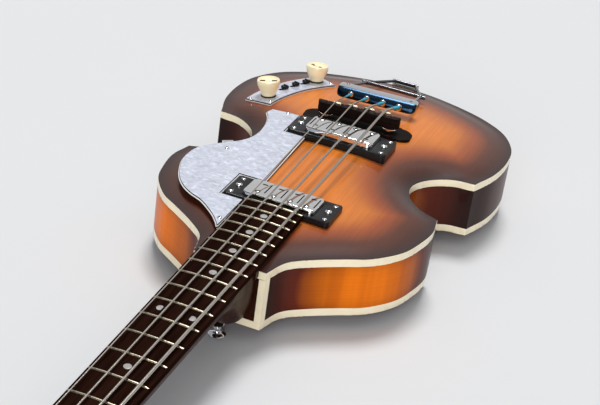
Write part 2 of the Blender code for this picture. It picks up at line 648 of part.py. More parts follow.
def make_bridge(body):
    frame = bridge_frame(body)
    bm = bmesh.new()
    bmesh.ops.create_grid(bm, x_segments=14, y_segments=2, size=1)
    for vert in bm.verts:
        x = vert.co.x * BASE_HALF_LENGTH
        end = max(0.0, abs(vert.co.x) - 0.78) / 0.22
        half = BASE_WIDTH / 2 * math.sqrt(max(1 - 0.75 * end * end, 0.05))
        vert.co = (x, vert.co.y * half, 0)
    grown = bmesh.ops.extrude_face_region(bm, geom=bm.faces[:])["geom"]
    raised = {item for item in grown if isinstance(item, bmesh.types.BMVert)}
    for vert in bm.verts:
        spot = frame @ vert.co
        if vert in raised:
            crown = 15.4 * MM - 2.6 * MM * (abs(vert.co.x) / BASE_HALF_LENGTH) ** 2
            vert.co.z = max(crown, top_height(spot.x, spot.y) + 2.4 * MM)
        else:
            vert.co.z = top_height(spot.x, spot.y) + FOLLOW_GAP
    bmesh.ops.transform(bm, matrix=frame, verts=bm.verts)
    base = piece("bridge_base", bm, "ebony", body)
    for side in (-1, 1):
        spot = frame @ Vector((side * WHEEL_X, 0, 0))
        boolean(base, rod((spot.x, spot.y, 0), (spot.x, spot.y, 30 * MM), 2.4 * MM, 12))

    shape = rounded_rectangle(CARRIER_HALF_LENGTH, CARRIER_WIDTH / 2, 6 * MM, 4)
    shape = [frame @ Vector((x, y, 0)) for x, y in shape]
    carrier_bm = prism([(point.x, point.y) for point in shape], CARRIER_BOTTOM, CARRIER_TOP)
    carrier = piece("bridge_saddle_carrier", carrier_bm, "ebony", body)
    rear = -CARRIER_WIDTH / 2
    slope = [(rear - 1 * MM, CARRIER_TOP - 3.4 * MM), (rear + 5.4 * MM, CARRIER_TOP + 0.5 * MM),
             (rear - 1 * MM, CARRIER_TOP + 0.5 * MM)]
    wedge = loft([[(x, y, z) for y, z in slope] for x in (-50 * MM, 50 * MM)])
    bmesh.ops.transform(wedge, matrix=frame, verts=wedge.verts)
    boolean(carrier, wedge)
    for side, name in ((-1, "bass"), (1, "treble")):
        spot = frame @ Vector((side * WHEEL_X, 0, 0))
        stud_hole = rod((spot.x, spot.y, CARRIER_BOTTOM - 2 * MM), (spot.x, spot.y, CARRIER_TOP - 3 * MM),
                        2.4 * MM, 12)
        boolean(carrier, stud_hole)
        wheel_top = CARRIER_BOTTOM - GAP
        stud = [(0, CARRIER_TOP - 4 * MM), (2.0 * MM, CARRIER_TOP - 4 * MM), (2.0 * MM, wheel_top),
                (WHEEL_RADIUS - 0.6 * MM, wheel_top), (WHEEL_RADIUS, wheel_top - 0.6 * MM),
                (WHEEL_RADIUS, wheel_top - 2.2 * MM), (WHEEL_RADIUS - 0.6 * MM, wheel_top - 2.8 * MM),
                (2.0 * MM, wheel_top - 2.8 * MM), (2.0 * MM, 12.8 * MM), (0, 12.8 * MM)]
        piece(f"bridge_thumbscrew_{name}", turned([(r, z) for r, z in stud], 20), "nickel", body,
              (spot.x, spot.y, 0), smooth=True)


def make_tailpiece(body):
    """Trapeze tailpiece: string bar, side rods and cross rods, hinged on a bracket at the tail."""
    turn = TAIL_BAR_TURN
    centre = (0, TAIL_BAR_Y)
    shape = around_z(rounded_rectangle(TAIL_BAR_HALF, TAIL_BAR_WIDTH / 2, 5 * MM, 3), turn, centre)
    made = piece("tailpiece", prism([tuple(point) for point in shape], TAIL_BAR_TOP - 3 * MM, TAIL_BAR_TOP),
                 "chrome", body)
    front = around_z([(-TAIL_BAR_HALF + 5 * MM, TAIL_BAR_WIDTH / 2 - 3 * MM),
                      (TAIL_BAR_HALF - 5 * MM, TAIL_BAR_WIDTH / 2 - 3 * MM),
                      (TAIL_BAR_HALF - 5 * MM, TAIL_BAR_WIDTH / 2 - 0.6 * MM),
                      (-TAIL_BAR_HALF + 5 * MM, TAIL_BAR_WIDTH / 2 - 0.6 * MM)], turn, centre)
    front = prism([tuple(point) for point in front], TAIL_BAR_TOP - 9.5 * MM, TAIL_BAR_TOP - 1 * MM)
    boolean(made, front, "UNION")
    for _, radius, _, saddle_x, saddle_y, tail_x in STRINGS:
        tail, crown = string_anchor(radius * MM, (saddle_x, saddle_y), tail_x)
        lead = (crown - tail).normalized() * 7 * MM
        boolean(made, rod(tail - lead, tail + lead, radius * MM + 0.7 * MM, 10))
    level = TAIL_BAR_TOP - 1.6 * MM
    corner = {side: Vector((side * 33 * MM, TAIL_BAR_Y - 4 * MM, level)) for side in (-1, 1)}
    elbow = {side: Vector((side * 29 * MM, -96 * MM, 11.5 * MM)) for side in (-1, 1)}
    hinge = {side: Vector((side * 11 * MM, TAIL_Y - 1.9 * MM, 3.4 * MM)) for side in (-1, 1)}
    for side in (-1, 1):
        boolean(made, rod(corner[side], elbow[side], TAIL_ROD_RADIUS, 8), "UNION")
        boolean(made, rod(elbow[side], hinge[side], TAIL_ROD_RADIUS, 8), "UNION")
    wide = Vector((5 * MM, 0, 0))
    boolean(made, rod(elbow[-1] - wide, elbow[1] + wide, TAIL_ROD_RADIUS * 1.15, 8), "UNION")
    boolean(made, rod(hinge[-1] - wide * 0.6, hinge[1] + wide * 0.6, TAIL_ROD_RADIUS * 1.15, 8), "UNION")

    lip = GAP + 0.15 * MM
    plate_face = TAIL_Y - lip
    profile = [(plate_face, 1 * MM), (plate_face, -24 * MM), (plate_face - 1.6 * MM, -24 * MM),
               (plate_face - 1.6 * MM, -0.4 * MM), (plate_face - 4.4 * MM, -0.4 * MM),
               (plate_face - 4.4 * MM, 1 * MM)]
    bracket = loft([[(x, y, z) for y, z in profile] for x in (-14 * MM, 14 * MM)])
    piece("tailpiece_hinge_bracket", bracket, "chrome", body)


# ---------------------------------------------------------------- pickups

def make_pickups(body):
    for name, (centre_y, ring_top, cover_top) in PICKUPS.items():
        outer = rounded_rectangle(RING_LENGTH / 2, RING_WIDTH / 2, 4 * MM, 2)
        hole_half = (COVER_LENGTH / 2 + 0.4 * MM, COVER_WIDTH / 2 + 0.4 * MM)
        floor = -10 * MM
        bm = bmesh.new()
        bmesh.ops.create_grid(bm, x_segments=10, y_segments=3, size=1)
        for vert in bm.verts:
            vert.co = (vert.co.x * RING_LENGTH / 2, centre_y + vert.co.y * RING_WIDTH / 2, 0)
        grown = bmesh.ops.extrude_face_region(bm, geom=bm.faces[:])["geom"]
        raised = {item for item in grown if isinstance(item, bmesh.types.BMVert)}
        for vert in bm.verts:
            vert.co.z = ring_top if vert in raised else top_height(vert.co.x, vert.co.y) + FOLLOW_GAP
        ring = piece(f"{name}_pickup_ring", bm, "black_plastic", body)
        boolean(ring, block((0, centre_y, 0), (hole_half[0] * 2, hole_half[1] * 2, 80 * MM)))
        corner_shape = prism([(x, centre_y + y) for x, y in outer], floor, 40 * MM)
        boolean(ring, corner_shape, "INTERSECT")
        for side in (-1, 1):
            x = side * HEIGHT_SCREW_X
            boolean(ring, rod((x, centre_y, floor), (x, centre_y, 40 * MM), 2.0 * MM, 12))

        lid = rounded_rectangle(COVER_LENGTH / 2, COVER_WIDTH / 2, 4.5 * MM, 3)
        lid = prism([(x, centre_y + y) for x, y in lid], cover_top - COVER_DEPTH, cover_top)
        can = piece(f"{name}_pickup_cover", lid, "chrome", body)
        top_under = top_height(0, centre_y) - PLATE_THICKNESS
        tab_low = min(cover_top - COVER_DEPTH, top_under - 6 * MM)
        tab_high = tab_low + 1.5 * MM
        boolean(can, block((0, centre_y, (tab_low + cover_top - 6 * MM) / 2),
                           (COVER_LENGTH - 8 * MM, COVER_WIDTH - 8 * MM, cover_top - 6 * MM - tab_low)),
                "UNION")
        boolean(can, block((0, centre_y, (tab_low + tab_high) / 2),
                           (TAB_LENGTH, 8 * MM, tab_high - tab_low)), "UNION")
        for side, side_name in ((-1, "bass"), (1, "treble")):
            x = side * HEIGHT_SCREW_X
            boolean(can, rod((x, centre_y, tab_low - 2 * MM), (x, centre_y, tab_high + 2 * MM),
                             1.65 * MM, 12))
            head_bottom = ring_top + GAP
            screw = [(0, head_bottom + 1.6 * MM), (2.0 * MM, head_bottom + 1.4 * MM),
                     (3.0 * MM, head_bottom + 0.5 * MM),
                     (3.0 * MM, head_bottom), (1.5 * MM, head_bottom), (1.5 * MM, tab_low - 5 * MM),
                     (0, tab_low - 5 * MM)]
            piece(f"{name}_pickup_screw_{side_name}", turned(screw, 12), "nickel", body, (x, centre_y, 0),
                  smooth=True)


# ---------------------------------------------------------------- pickguard and controls

def guard_level(y):
    return GUARD_LEVEL - GUARD_SLOPE * (y - GUARD_LEVEL_Y)


def make_pickguard(body):
    curve = smooth_curve(GUARD_NECK_CURVE, 30)
    shape = [tuple(point) for point in curve] + [(x * MM, y * MM) for x, y in GUARD_STRING_EDGE]
    bm = prism(shape, -1, 1)
    for vert in bm.verts:
        level = guard_level(vert.co.y)
        vert.co.z = level if vert.co.z > 0 else level - GUARD_THICKNESS
    piece("pickguard", bm, "pearl", body)

    corner = Vector((86 * MM, 118 * MM))
    outwards = Vector((0.62, -0.78)).normalized()
    across = Vector((-outwards.y, outwards.x))
    under = guard_level(corner.y) - GUARD_THICKNESS - 2.5 * GAP
    foot = top_height(88 * MM, 113 * MM) + FOLLOW_GAP
    half = 5 * MM
    profile = [(-9 * MM, under - 1.4 * MM), (2.0 * MM, under - 1.4 * MM), (2.0 * MM, foot + 0.8 * MM),
               (3.4 * MM, foot + 0.8 * MM), (3.4 * MM, under), (-9 * MM, under)]
    rings = []
    for share in (-1, 1):
        side = corner + across * half * share
        rings.append([(*(side + outwards * reach), level) for reach, level in profile])
    piece("pickguard_bracket", loft(rings), "nickel", body)


def panel_band(half, steps, trimmed=0):
    """Outline of a band along the control plate's centre line, some steps short of its ends."""
    spine = smooth_curve(PANEL_SPINE, steps)[trimmed:steps + 1 - trimmed]
    left, right = [], []
    for index, point in enumerate(spine):
        before = spine[max(index - 1, 0)]
        after = spine[min(index + 1, len(spine) - 1)]
        direction = (after - before).normalized()
        normal = Vector((-direction.y, direction.x))
        left.append(tuple(point + normal * half))
        right.append(tuple(point - normal * half))
    return left + right[::-1]


def make_controls(body):
    band = panel_band(PANEL_HALF_WIDTH, 12)
    count = len(band) // 2
    rings = []
    for left, right in zip(band[:count], reversed(band[count:])):
        under, over = [], []
        for share in (0, 0.25, 0.5, 0.75, 1):
            spot = Vector(left).lerp(Vector(right), share)
            height = top_height(spot.x, spot.y)
            under.append((spot.x, spot.y, height + FOLLOW_GAP))
            over.append((spot.x, spot.y, height + FOLLOW_GAP + PANEL_THICKNESS))
        rings.append(under + over[::-1])
    panel = piece("control_plate", loft(rings), "pearl", body)
    surface = FOLLOW_GAP + PANEL_THICKNESS
    for name, (x, y) in KNOB_PLACES.items():
        frame = on_top(x * MM, y * MM)
        hole = rod(frame @ Vector((0, 0, -6 * MM)), frame @ Vector((0, 0, 12 * MM)), 3.6 * MM, 16)
        boolean(panel, hole)
        foot = surface + 0.8 * MM
        cup = [(0, foot + 14.2 * MM), (6.2 * MM, foot + 14.2 * MM), (7.4 * MM, foot + 13.0 * MM),
               (9.0 * MM, foot + 13.0 * MM), (9.8 * MM, foot + 15.8 * MM),
               (KNOB_RADIUS - 0.6 * MM, foot + 16.2 * MM),
               (KNOB_RADIUS, foot + 14.4 * MM), (10.6 * MM, foot + 9 * MM), (9.2 * MM, foot + 4.5 * MM),
               (7.6 * MM, foot + 1.4 * MM), (6.6 * MM, foot), (3.0 * MM, foot),
               (3.0 * MM, -9.6 * MM), (0, -9.6 * MM)]
        knob = piece(name, turned(cup, 24), "cream_knob", body, smooth=True)
        knob.matrix_local = frame
        can = [(0, -10.2 * MM), (11 * MM, -10.2 * MM), (11 * MM, -19 * MM), (0, -19 * MM)]
        pot = piece(name.replace("volume_knob", "volume_pot"), turned(can, 16), "steel", body, smooth=True)
        pot.matrix_local = frame
    for name, (x, y) in SWITCH_PLACES.items():
        frame = on_top(x * MM, y * MM)
        local = frame.to_3x3().inverted() @ SWITCH_DIRECTION
        angle = math.atan2(local.y, local.x)
        turn = Matrix.Rotation(angle, 4, "Z")
        slot_half = 2.2 * MM + SWITCH_TRAVEL / 2
        slot = block((SWITCH_TRAVEL / 2, 0, 0), (slot_half * 2, 3.2 * MM, 16 * MM))
        bmesh.ops.transform(slot, matrix=frame @ turn, verts=slot.verts)
        boolean(panel, slot)
        lever = prism(rounded_rectangle(3.6 * MM, 2.9 * MM, 1.2 * MM, 2), surface + GAP, surface + 5 * MM)
        made = piece(name, lever, "black_plastic", body)
        made.matrix_local = frame @ turn
        boolean(made, block((0, 0, (surface - 3 * MM) / 2), (3.6 * MM, 2.4 * MM, surface + 4 * MM)), "UNION")


def make_jack(body):
    level = -RIM_HEIGHT / 2
    edge = max(point.x for point in half_outline())
    face = edge + GAP
    profile = [(JACK_BORE_RADIUS, 3 * MM), (5 * MM, 3 * MM), (5.6 * MM, 1.6 * MM),
               (JACK_FLANGE_RADIUS, 1.6 * MM),
               (JACK_FLANGE_RADIUS, 0), (JACK_BARREL_RADIUS, 0), (JACK_BARREL_RADIUS, -JACK_DEPTH),
               (JACK_BORE_RADIUS, -JACK_DEPTH)]
    piece("output_jack", turned(profile, 24, Matrix.Rotation(math.pi / 2, 4, "Y")), "chrome", body,
          (face, JACK_Y, level), smooth=True)


def make_strap_buttons(body):
    button = [(0, 0), (4.6 * MM, 0), (5.2 * MM, 1 * MM), (3.6 * MM, 3 * MM), (3.4 * MM, 6.6 * MM),
              (STRAP_BUTTON_RADIUS - 1 * MM, 8.6 * MM), (STRAP_BUTTON_RADIUS, 9.8 * MM),
              (STRAP_BUTTON_RADIUS - 0.6 * MM, 11 * MM), (3 * MM, STRAP_BUTTON_HEIGHT),
               (0, STRAP_BUTTON_HEIGHT)]
    piece("strap_button_tail", turned(button, 20, Matrix.Rotation(math.pi / 2, 4, "X")), "chrome", body,
          (0, TAIL_Y - GAP, -36 * MM), smooth=True)
    piece("strap_button_heel", turned(button, 20, Matrix.Rotation(math.pi, 4, "X")), "chrome", body,
          (0, 307.5 * MM, -HEEL_BOTTOM - 1.6 * MM), smooth=True)


def main():
    clear_scene()
    body = frame_empty("body_datum", Matrix.Translation((CENTRE_X, BRIDGE_Y, RIM_Z)))
    pitch = Matrix.Rotation(-NECK_PITCH, 4, "X")
    neck_matrix = (Matrix.Translation((0, PITCH_POINT_Y, 0)) @ pitch
                   @ Matrix.Translation((0, -PITCH_POINT_Y, BOARD_RISE)))
    neck = frame_empty("neck_datum", body.matrix_world @ neck_matrix)
    head_matrix = (Matrix.Translation((0, HEAD_START, -BOARD_THICKNESS - GAP))
                   @ Matrix.Rotation(-HEAD_PITCH, 4, "X"))
    head = frame_empty("headstock_datum", neck.matrix_world @ head_matrix)
    make_plates(body)
    make_ribs(body)
    make_binding("top_binding", -BINDING_HEIGHT, 0, body)
    make_binding("back_binding", -RIM_HEIGHT, -RIM_HEIGHT + BINDING_HEIGHT, body)
    make_inner_frame(body)
    make_fretboard(neck)
    make_neck(neck, head)
    make_neck_hardware(neck, head)
    make_tuners(head)
    make_strings(body, neck, head)
    make_bridge(body)
    make_tailpiece(body)
    make_pickups(body)
    make_pickguard(body)
    make_controls(body)
    make_jack(body)
    make_strap_buttons(body)


main()
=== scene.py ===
"""Finished look of a violin-shaped hollow-body electric bass guitar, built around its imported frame.

The instrument lies on its back: +Y runs from the tail to the headstock, +X is the treble side and +Z
comes out of the top. Sizes in the outlines are millimetres from the bridge line, the centre line and the
rim plane; everything else is in metres.
"""
import json
import math

import bmesh
import bpy
from mathutils import Matrix, Vector
from mathutils.bvhtree import BVHTree
from mathutils.kdtree import KDTree


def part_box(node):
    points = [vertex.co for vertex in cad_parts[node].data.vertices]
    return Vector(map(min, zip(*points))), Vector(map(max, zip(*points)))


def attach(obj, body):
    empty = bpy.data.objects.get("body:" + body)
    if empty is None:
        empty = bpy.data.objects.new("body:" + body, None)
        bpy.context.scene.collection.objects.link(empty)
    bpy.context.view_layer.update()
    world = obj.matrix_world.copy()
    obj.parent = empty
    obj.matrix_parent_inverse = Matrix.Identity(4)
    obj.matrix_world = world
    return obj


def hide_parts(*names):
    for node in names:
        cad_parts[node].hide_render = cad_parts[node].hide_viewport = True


bl_info = {
    "name": "Violin-shaped bass guitar",
    "version": (1, 0, 0),
    "blender": (4, 5, 0),
    "location": "View3D > Sidebar > Bass Guitar",
    "description": "Builds a sunburst hollow-body bass guitar around its mechanical frame",
    "category": "Object",
}

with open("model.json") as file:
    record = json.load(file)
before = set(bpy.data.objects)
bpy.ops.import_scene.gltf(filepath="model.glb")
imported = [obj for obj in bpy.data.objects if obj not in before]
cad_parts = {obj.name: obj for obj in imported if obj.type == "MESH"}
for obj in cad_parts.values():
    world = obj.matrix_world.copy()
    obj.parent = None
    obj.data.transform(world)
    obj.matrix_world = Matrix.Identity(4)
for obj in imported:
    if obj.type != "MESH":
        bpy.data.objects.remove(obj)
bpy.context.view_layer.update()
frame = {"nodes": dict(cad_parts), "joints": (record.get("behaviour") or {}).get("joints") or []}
MM = 0.001

# ---------------------------------------------------------------- datums, from the frame

BINDING_LOW, BINDING_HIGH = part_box("top_binding")
BACK_LOW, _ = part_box("back_binding")
TAIL_Y = -137 * MM
NECK_END_Y = 298 * MM
BODY = Matrix.Translation(((BINDING_LOW.x + BINDING_HIGH.x) / 2, BINDING_LOW.y - TAIL_Y, BINDING_HIGH.z))
RIM_HEIGHT = BINDING_HIGH.z - BACK_LOW.z
NECK = (BODY @ Matrix.Translation((0, 150 * MM, 0)) @ Matrix.Rotation(math.radians(-3.62), 4, "X")
        @ Matrix.Translation((0, -150 * MM, 17.99 * MM)))
BOARD_THICKNESS = 6 * MM
HEAD = (NECK @ Matrix.Translation((0, 768 * MM, -BOARD_THICKNESS - 0.3 * MM))
        @ Matrix.Rotation(math.radians(-4.97), 4, "X"))
SCALE_LENGTH = 762 * MM
TAIL_BAR_TOP = 25.9 * MM
BINDING_HEIGHT = 6.9 * MM
BINDING_THICKNESS = 1.8 * MM
TOP_ARCH = 11.5 * MM
BACK_ARCH = 12.0 * MM
GAP = 0.3 * MM

UPPER_BOUT = [(31.9, 298), (39.0, 273), (56.4, 255.6), (76.8, 240.3), (96.3, 225.9), (113.5, 202.2),
              (120.9, 177.8), (124.2, 152.5), (120.3, 128.1)]
WAIST = [(120.3, 128.1), (99.5, 117.5), (85.3, 99.9), (80.8, 78.7), (89.6, 58.5), (108.3, 43.5),
         (129.1, 40.0)]
LOWER_BOUT = [(129.1, 40.0), (139.1, 7.3), (141.9, -27.2), (137.5, -58.0), (121.4, -88.0),
              (95.9, -109.0), (66.1, -123.0), (32.0, -133.0), (0.0, -137.0)]
GUARD_NECK_CURVE = [(29.6, 263.4), (32.8, 258.2), (39.8, 249.4), (48.2, 241.4), (59.0, 232.7), (71.3, 226.8),
                    (81.7, 219.3), (90.8, 208.8), (97.6, 196.3), (104.0, 178.8), (105.5, 164.1),
                    (103.6, 150.0), (96.0, 136.9), (86.4, 125.5), (76.7, 114.1), (71.5, 103.3),
                    (69.5, 89.9), (70.7, 73.6), (74.2, 58.6), (80.6, 46.5)]
GUARD_STRING_EDGE = [(78.0, 37.5), (60.7, 34.9), (49.6, 34.5), (49.6, 73.2), (29.2, 73.2), (25.6, 172.6),
                     (49.6, 172.6), (49.6, 211.8), (28.0, 211.8), (28.0, 261.0)]
GUARD_SCREWS = [(79.8, 135.4), (32.4, 250.5), (61.3, 37.5)]
PANEL_SPINE = [(103.5, 11.5), (100.2, -8.0), (94.5, -28.5), (86.6, -48.5), (76.0, -67.5), (66.5, -81.5)]
PANEL_SCREWS = [(112.5, 8.5), (92.0, 8.0), (60.5, -75.0), (74.5, -84.0)]
HEAD_OUTLINE = [(0, 21.2), (14, 21.8), (30, 29), (50, 34), (80, 34.5), (112, 36), (140, 35), (156, 28),
                (165, 14)]
# String name, radius, and places across at the nut, across and along at the saddle, across at the tailpiece.
STRINGS = [("e", 1.33, -16.6, -23.4, 4.0, -25.0), ("a", 1.08, -5.6, -7.9, 6.2, -8.4),
           ("d", 0.83, 5.5, 8.0, 9.4, 8.4), ("g", 0.57, 16.6, 23.6, 13.0, 25.0)]
PICKUPS = {"neck": (192.2 * MM, 11.0 * MM, 15.0 * MM), "bridge": (53.6 * MM, 18.0 * MM, 23.6 * MM)}


# ---------------------------------------------------------------- settings

class BodySettings(bpy.types.PropertyGroup):
    amber: bpy.props.FloatVectorProperty(
        name="Amber", description="Lacquer colour at the middle of the top", subtype="COLOR", size=3,
        min=0, max=1, default=(0.68, 0.19, 0.018))
    edge_brown: bpy.props.FloatVectorProperty(
        name="Edge brown", description="Lacquer colour along the edge of the top", subtype="COLOR", size=3,
        min=0, max=1, default=(0.022, 0.008, 0.007))
    rib_orange: bpy.props.FloatVectorProperty(
        name="Rib orange", description="Lacquer colour at the middle of each bout", subtype="COLOR", size=3,
        min=0, max=1, default=(0.95, 0.21, 0.002))
    cream: bpy.props.FloatVectorProperty(
        name="Binding cream", description="Colour of the binding", subtype="COLOR", size=3,
        min=0, max=1, default=(0.97, 0.86, 0.62))
    burst_width: bpy.props.FloatProperty(
        name="Burst width", description="Distance from the edge at which the top is fully amber",
        default=0.075, min=0.02, max=0.12, unit="LENGTH", subtype="DISTANCE")


class NeckSettings(bpy.types.PropertyGroup):
    neck_brown: bpy.props.FloatVectorProperty(
        name="Neck brown", description="Lacquer colour of the neck", subtype="COLOR", size=3,
        min=0, max=1, default=(0.030, 0.008, 0.004))
    board_brown: bpy.props.FloatVectorProperty(
        name="Fretboard brown", description="Colour of the rosewood fretboard", subtype="COLOR", size=3,
        min=0, max=1, default=(0.016, 0.006, 0.004))
    fret_count: bpy.props.IntProperty(
        name="Frets", description="How many frets the board carries", default=22, min=12, max=22)
    dot_radius: bpy.props.FloatProperty(
        name="Dot radius", description="Radius of the position dots", default=0.0031, min=0.001, max=0.005,
        unit="LENGTH", subtype="DISTANCE")


class HardwareSettings(bpy.types.PropertyGroup):
    knob_cream: bpy.props.FloatVectorProperty(
        name="Knob cream", description="Colour of the volume knobs", subtype="COLOR", size=3,
        min=0, max=1, default=(1.0, 0.87, 0.56))
    pearl_white: bpy.props.FloatVectorProperty(
        name="Pearl white", description="Base colour of the pearl plates", subtype="COLOR", size=3,
        min=0, max=1, default=(0.55, 0.57, 0.65))
    silk_blue: bpy.props.FloatVectorProperty(
        name="String silk", description="Colour of the silk at the strings' ends", subtype="COLOR", size=3,
        min=0, max=1, default=(0.01, 0.36, 0.55))
    plate_layer: bpy.props.FloatProperty(
        name="Plate layer", description="Thickness of each layer of the pearl plates", default=0.0008,
        min=0.0003, max=0.0015, unit="LENGTH", subtype="DISTANCE")


class StageSettings(bpy.types.PropertyGroup):
    floor_grey: bpy.props.FloatVectorProperty(
        name="Floor", description="Colour of the floor", subtype="COLOR", size=3,
        min=0, max=1, default=(0.60, 0.605, 0.615))
    key_strength: bpy.props.FloatProperty(
        name="Key light", description="Strength of the main light, from behind the treble side", default=2.45,
        min=0, max=20)
    fill_strength: bpy.props.FloatProperty(
        name="Front fill", description="Strength of the light from the headstock's side", default=1.8,
        min=0, max=20)
    sky_strength: bpy.props.FloatProperty(
        name="Room light", description="Brightness of the room around the instrument", default=0.55, min=0,
        max=5)
    camera_place: bpy.props.FloatVectorProperty(
        name="Camera place", description="Where the camera stands", subtype="TRANSLATION", unit="LENGTH",
        size=3, default=(-0.3679, 0.8397, 0.6429))
    camera_turn: bpy.props.FloatVectorProperty(
        name="Camera turn", description="Which way the camera looks", subtype="EULER", unit="ROTATION",
        size=3, default=(math.radians(62.474), math.radians(-7.253), math.radians(-157.559)))
    lens: bpy.props.FloatProperty(
        name="Lens", description="Focal length on a 36 mm wide sensor, in millimetres", default=87.43,
        min=20, max=300)


def settings(name):
    return getattr(bpy.context.scene, f"bass_{name}")


# ---------------------------------------------------------------- shapes

def loft(rings):
    """Solid through closed rings that all have the same number of points."""
    bm = bmesh.new()
    face = bm.faces.new([bm.verts.new(point) for point in rings[0]])
    for count, ring in enumerate(rings[1:]):
        grown = bmesh.ops.extrude_face_region(bm, geom=[face])["geom"]
        if count:
            bmesh.ops.delete(bm, geom=[face], context="FACES_ONLY")
        face = next(item for item in grown if isinstance(item, bmesh.types.BMFace))
        for vert, point in zip(face.verts, ring):
            vert.co = point
    return bm


def soften(bm, width, segments=2, limit=35):
    """Round every edge sharper than a limit, in degrees."""
    sharp = [edge for edge in bm.edges
             if len(edge.link_faces) == 2 and edge.calc_face_angle(0) > math.radians(limit)]
    bmesh.ops.bevel(bm, geom=sharp, offset=width, offset_type="OFFSET", segments=segments, profile=0.5,
                    material=-1, affect="EDGES", clamp_overlap=True)
    return bm


def box(centre, size, round_by=0.0, segments=2):
    bm = bmesh.new()
    scale = Matrix.Diagonal((*size, 1))
    bmesh.ops.create_cube(bm, size=1, matrix=Matrix.Translation(centre) @ scale)
    if round_by:
        soften(bm, round_by, segments)
    return bm


def slab(points, low, high, round_by=0.0, segments=2):
    """Flat piece on an outline, with its upper and lower rims rounded."""
    bm = loft([[(x, y, low) for x, y in points], [(x, y, high) for x, y in points]])
    if round_by:
        rims = [edge for edge in bm.edges
                if abs(edge.verts[0].co.z - edge.verts[1].co.z) < 1e-7]
        bmesh.ops.bevel(bm, geom=rims, offset=round_by, offset_type="OFFSET", segments=segments,
                        profile=0.5, material=-1, affect="EDGES", clamp_overlap=True)
    return bm


def turned(profile, segments=32, matrix=Matrix.Identity(4)):
    """Solid of revolution about Z from (radius, height) points."""
    bm = bmesh.new()
    verts = [bm.verts.new((radius, 0, height)) for radius, height in profile]
    edges = [bm.edges.new(pair) for pair in zip(verts, verts[1:])]
    if profile[0][0] > 0:
        edges.append(bm.edges.new((verts[-1], verts[0])))
    bmesh.ops.spin(bm, geom=verts + edges, cent=(0, 0, 0), axis=(0, 0, 1), angle=math.tau,
                   steps=segments, use_merge=True)
    bmesh.ops.remove_doubles(bm, verts=bm.verts, dist=1e-6)
    bmesh.ops.recalc_face_normals(bm, faces=bm.faces)
    bmesh.ops.transform(bm, matrix=matrix, verts=bm.verts)
    return bm


def rod(start, end, radius, segments=16, tip=None):
    """Round bar between two points; tip is its radius at the end."""
    start, end = Vector(start), Vector(end)
    along = end - start
    matrix = Matrix.Translation((start + end) / 2) @ along.to_track_quat("Z", "Y").to_matrix().to_4x4()
    bm = bmesh.new()
    bmesh.ops.create_cone(bm, cap_ends=True, segments=segments, radius1=radius,
                          radius2=radius if tip is None else tip, depth=along.length, matrix=matrix)
    return bm


def ball(centre, radius):
    bm = bmesh.new()
    bmesh.ops.create_uvsphere(bm, u_segments=16, v_segments=10, radius=radius,
                              matrix=Matrix.Translation(centre))
    return bm


def joined(parts):
    """One bmesh from several, for a piece made of a few closed shells."""
    bm = bmesh.new()
    for part in parts:
        mesh = bpy.data.meshes.new("part")
        part.to_mesh(mesh)
        part.free()
        bm.from_mesh(mesh)
        bpy.data.meshes.remove(mesh)
    return bm


def placed(bm, matrix):
    bmesh.ops.transform(bm, matrix=matrix, verts=bm.verts)
    return bm


def smooth_curve(points, steps):
    """Even points along a Catmull-Rom curve through points in millimetres."""
    path = [Vector(point) * MM for point in points]
    path = [2 * path[0] - path[1]] + path + [2 * path[-1] - path[-2]]
    made = []
    spans = len(points) - 1
    for step in range(steps + 1):
        position = step * spans / steps
        span = min(int(position), spans - 1)
        t = position - span
        a, b, c, d = path[span:span + 4]
        made.append(0.5 * (2 * b + (c - a) * t + (2 * a - 5 * b + 4 * c - d) * t * t
                           + (3 * b - a - 3 * c + d) * t ** 3))
    return made


def rounded_rectangle(half_x, half_y, radius, steps=6):
    points = []
    for corner, (sx, sy) in enumerate(((1, 1), (-1, 1), (-1, -1), (1, -1))):
        for step in range(steps + 1):
            angle = math.radians(90 * corner + 90 * step / steps)
            points.append((sx * (half_x - radius) + radius * math.cos(angle),
                           sy * (half_y - radius) + radius * math.sin(angle)))
    return points


def half_outline():
    """Treble half of the body's outline, from the middle of the neck end to the middle of the tail."""
    return ([Vector((0, NECK_END_Y))] + smooth_curve(UPPER_BOUT, 64) + smooth_curve(WAIST, 48)[1:]
            + smooth_curve(LOWER_BOUT, 72)[1:])


def inset(path, distance):
    """Move a half outline inwards, mitred at its corners, keeping its ends on the centre line."""
    moved = []
    for index, point in enumerate(path):
        before = path[index] - path[index - 1] if index else None
        after = path[index + 1] - path[index] if index + 1 < len(path) else None
        if before is None or after is None:
            moved.append(Vector((0, point.y + (distance if after is None else -distance))))
            continue
        normals = [Vector((side.y, -side.x)).normalized() for side in (before, after)]
        middle = (normals[0] + normals[1]).normalized()
        moved.append(point + middle * distance / max(middle.dot(normals[0]), 0.4))
    return moved


def whole(path):
    """Closed outline from a treble half."""
    return list(path) + [Vector((-point.x, point.y)) for point in reversed(path[1:-1])]


# ---------------------------------------------------------------- pieces

def piece(name, bm, finish, body="instrument", replaces=(), place=BODY, smooth=40, flip=True):
    """Turn a bmesh into a finished piece that rides on a body of the frame."""
    bmesh.ops.remove_doubles(bm, verts=bm.verts, dist=1e-6)
    if flip:
        bmesh.ops.recalc_face_normals(bm, faces=bm.faces)
    bmesh.ops.transform(bm, matrix=place, verts=bm.verts)
    mesh = bpy.data.meshes.new(name)
    bm.to_mesh(mesh)
    bm.free()
    for material in finish if isinstance(finish, (list, tuple)) else [finish]:
        mesh.materials.append(finish_named(material))
    mesh.shade_smooth()
    mesh.set_sharp_from_angle(angle=math.radians(smooth))
    made = bpy.data.objects.new(name, mesh)
    bpy.context.scene.collection.objects.link(made)
    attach(made, body)
    if replaces:
        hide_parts(*replaces)
    return made


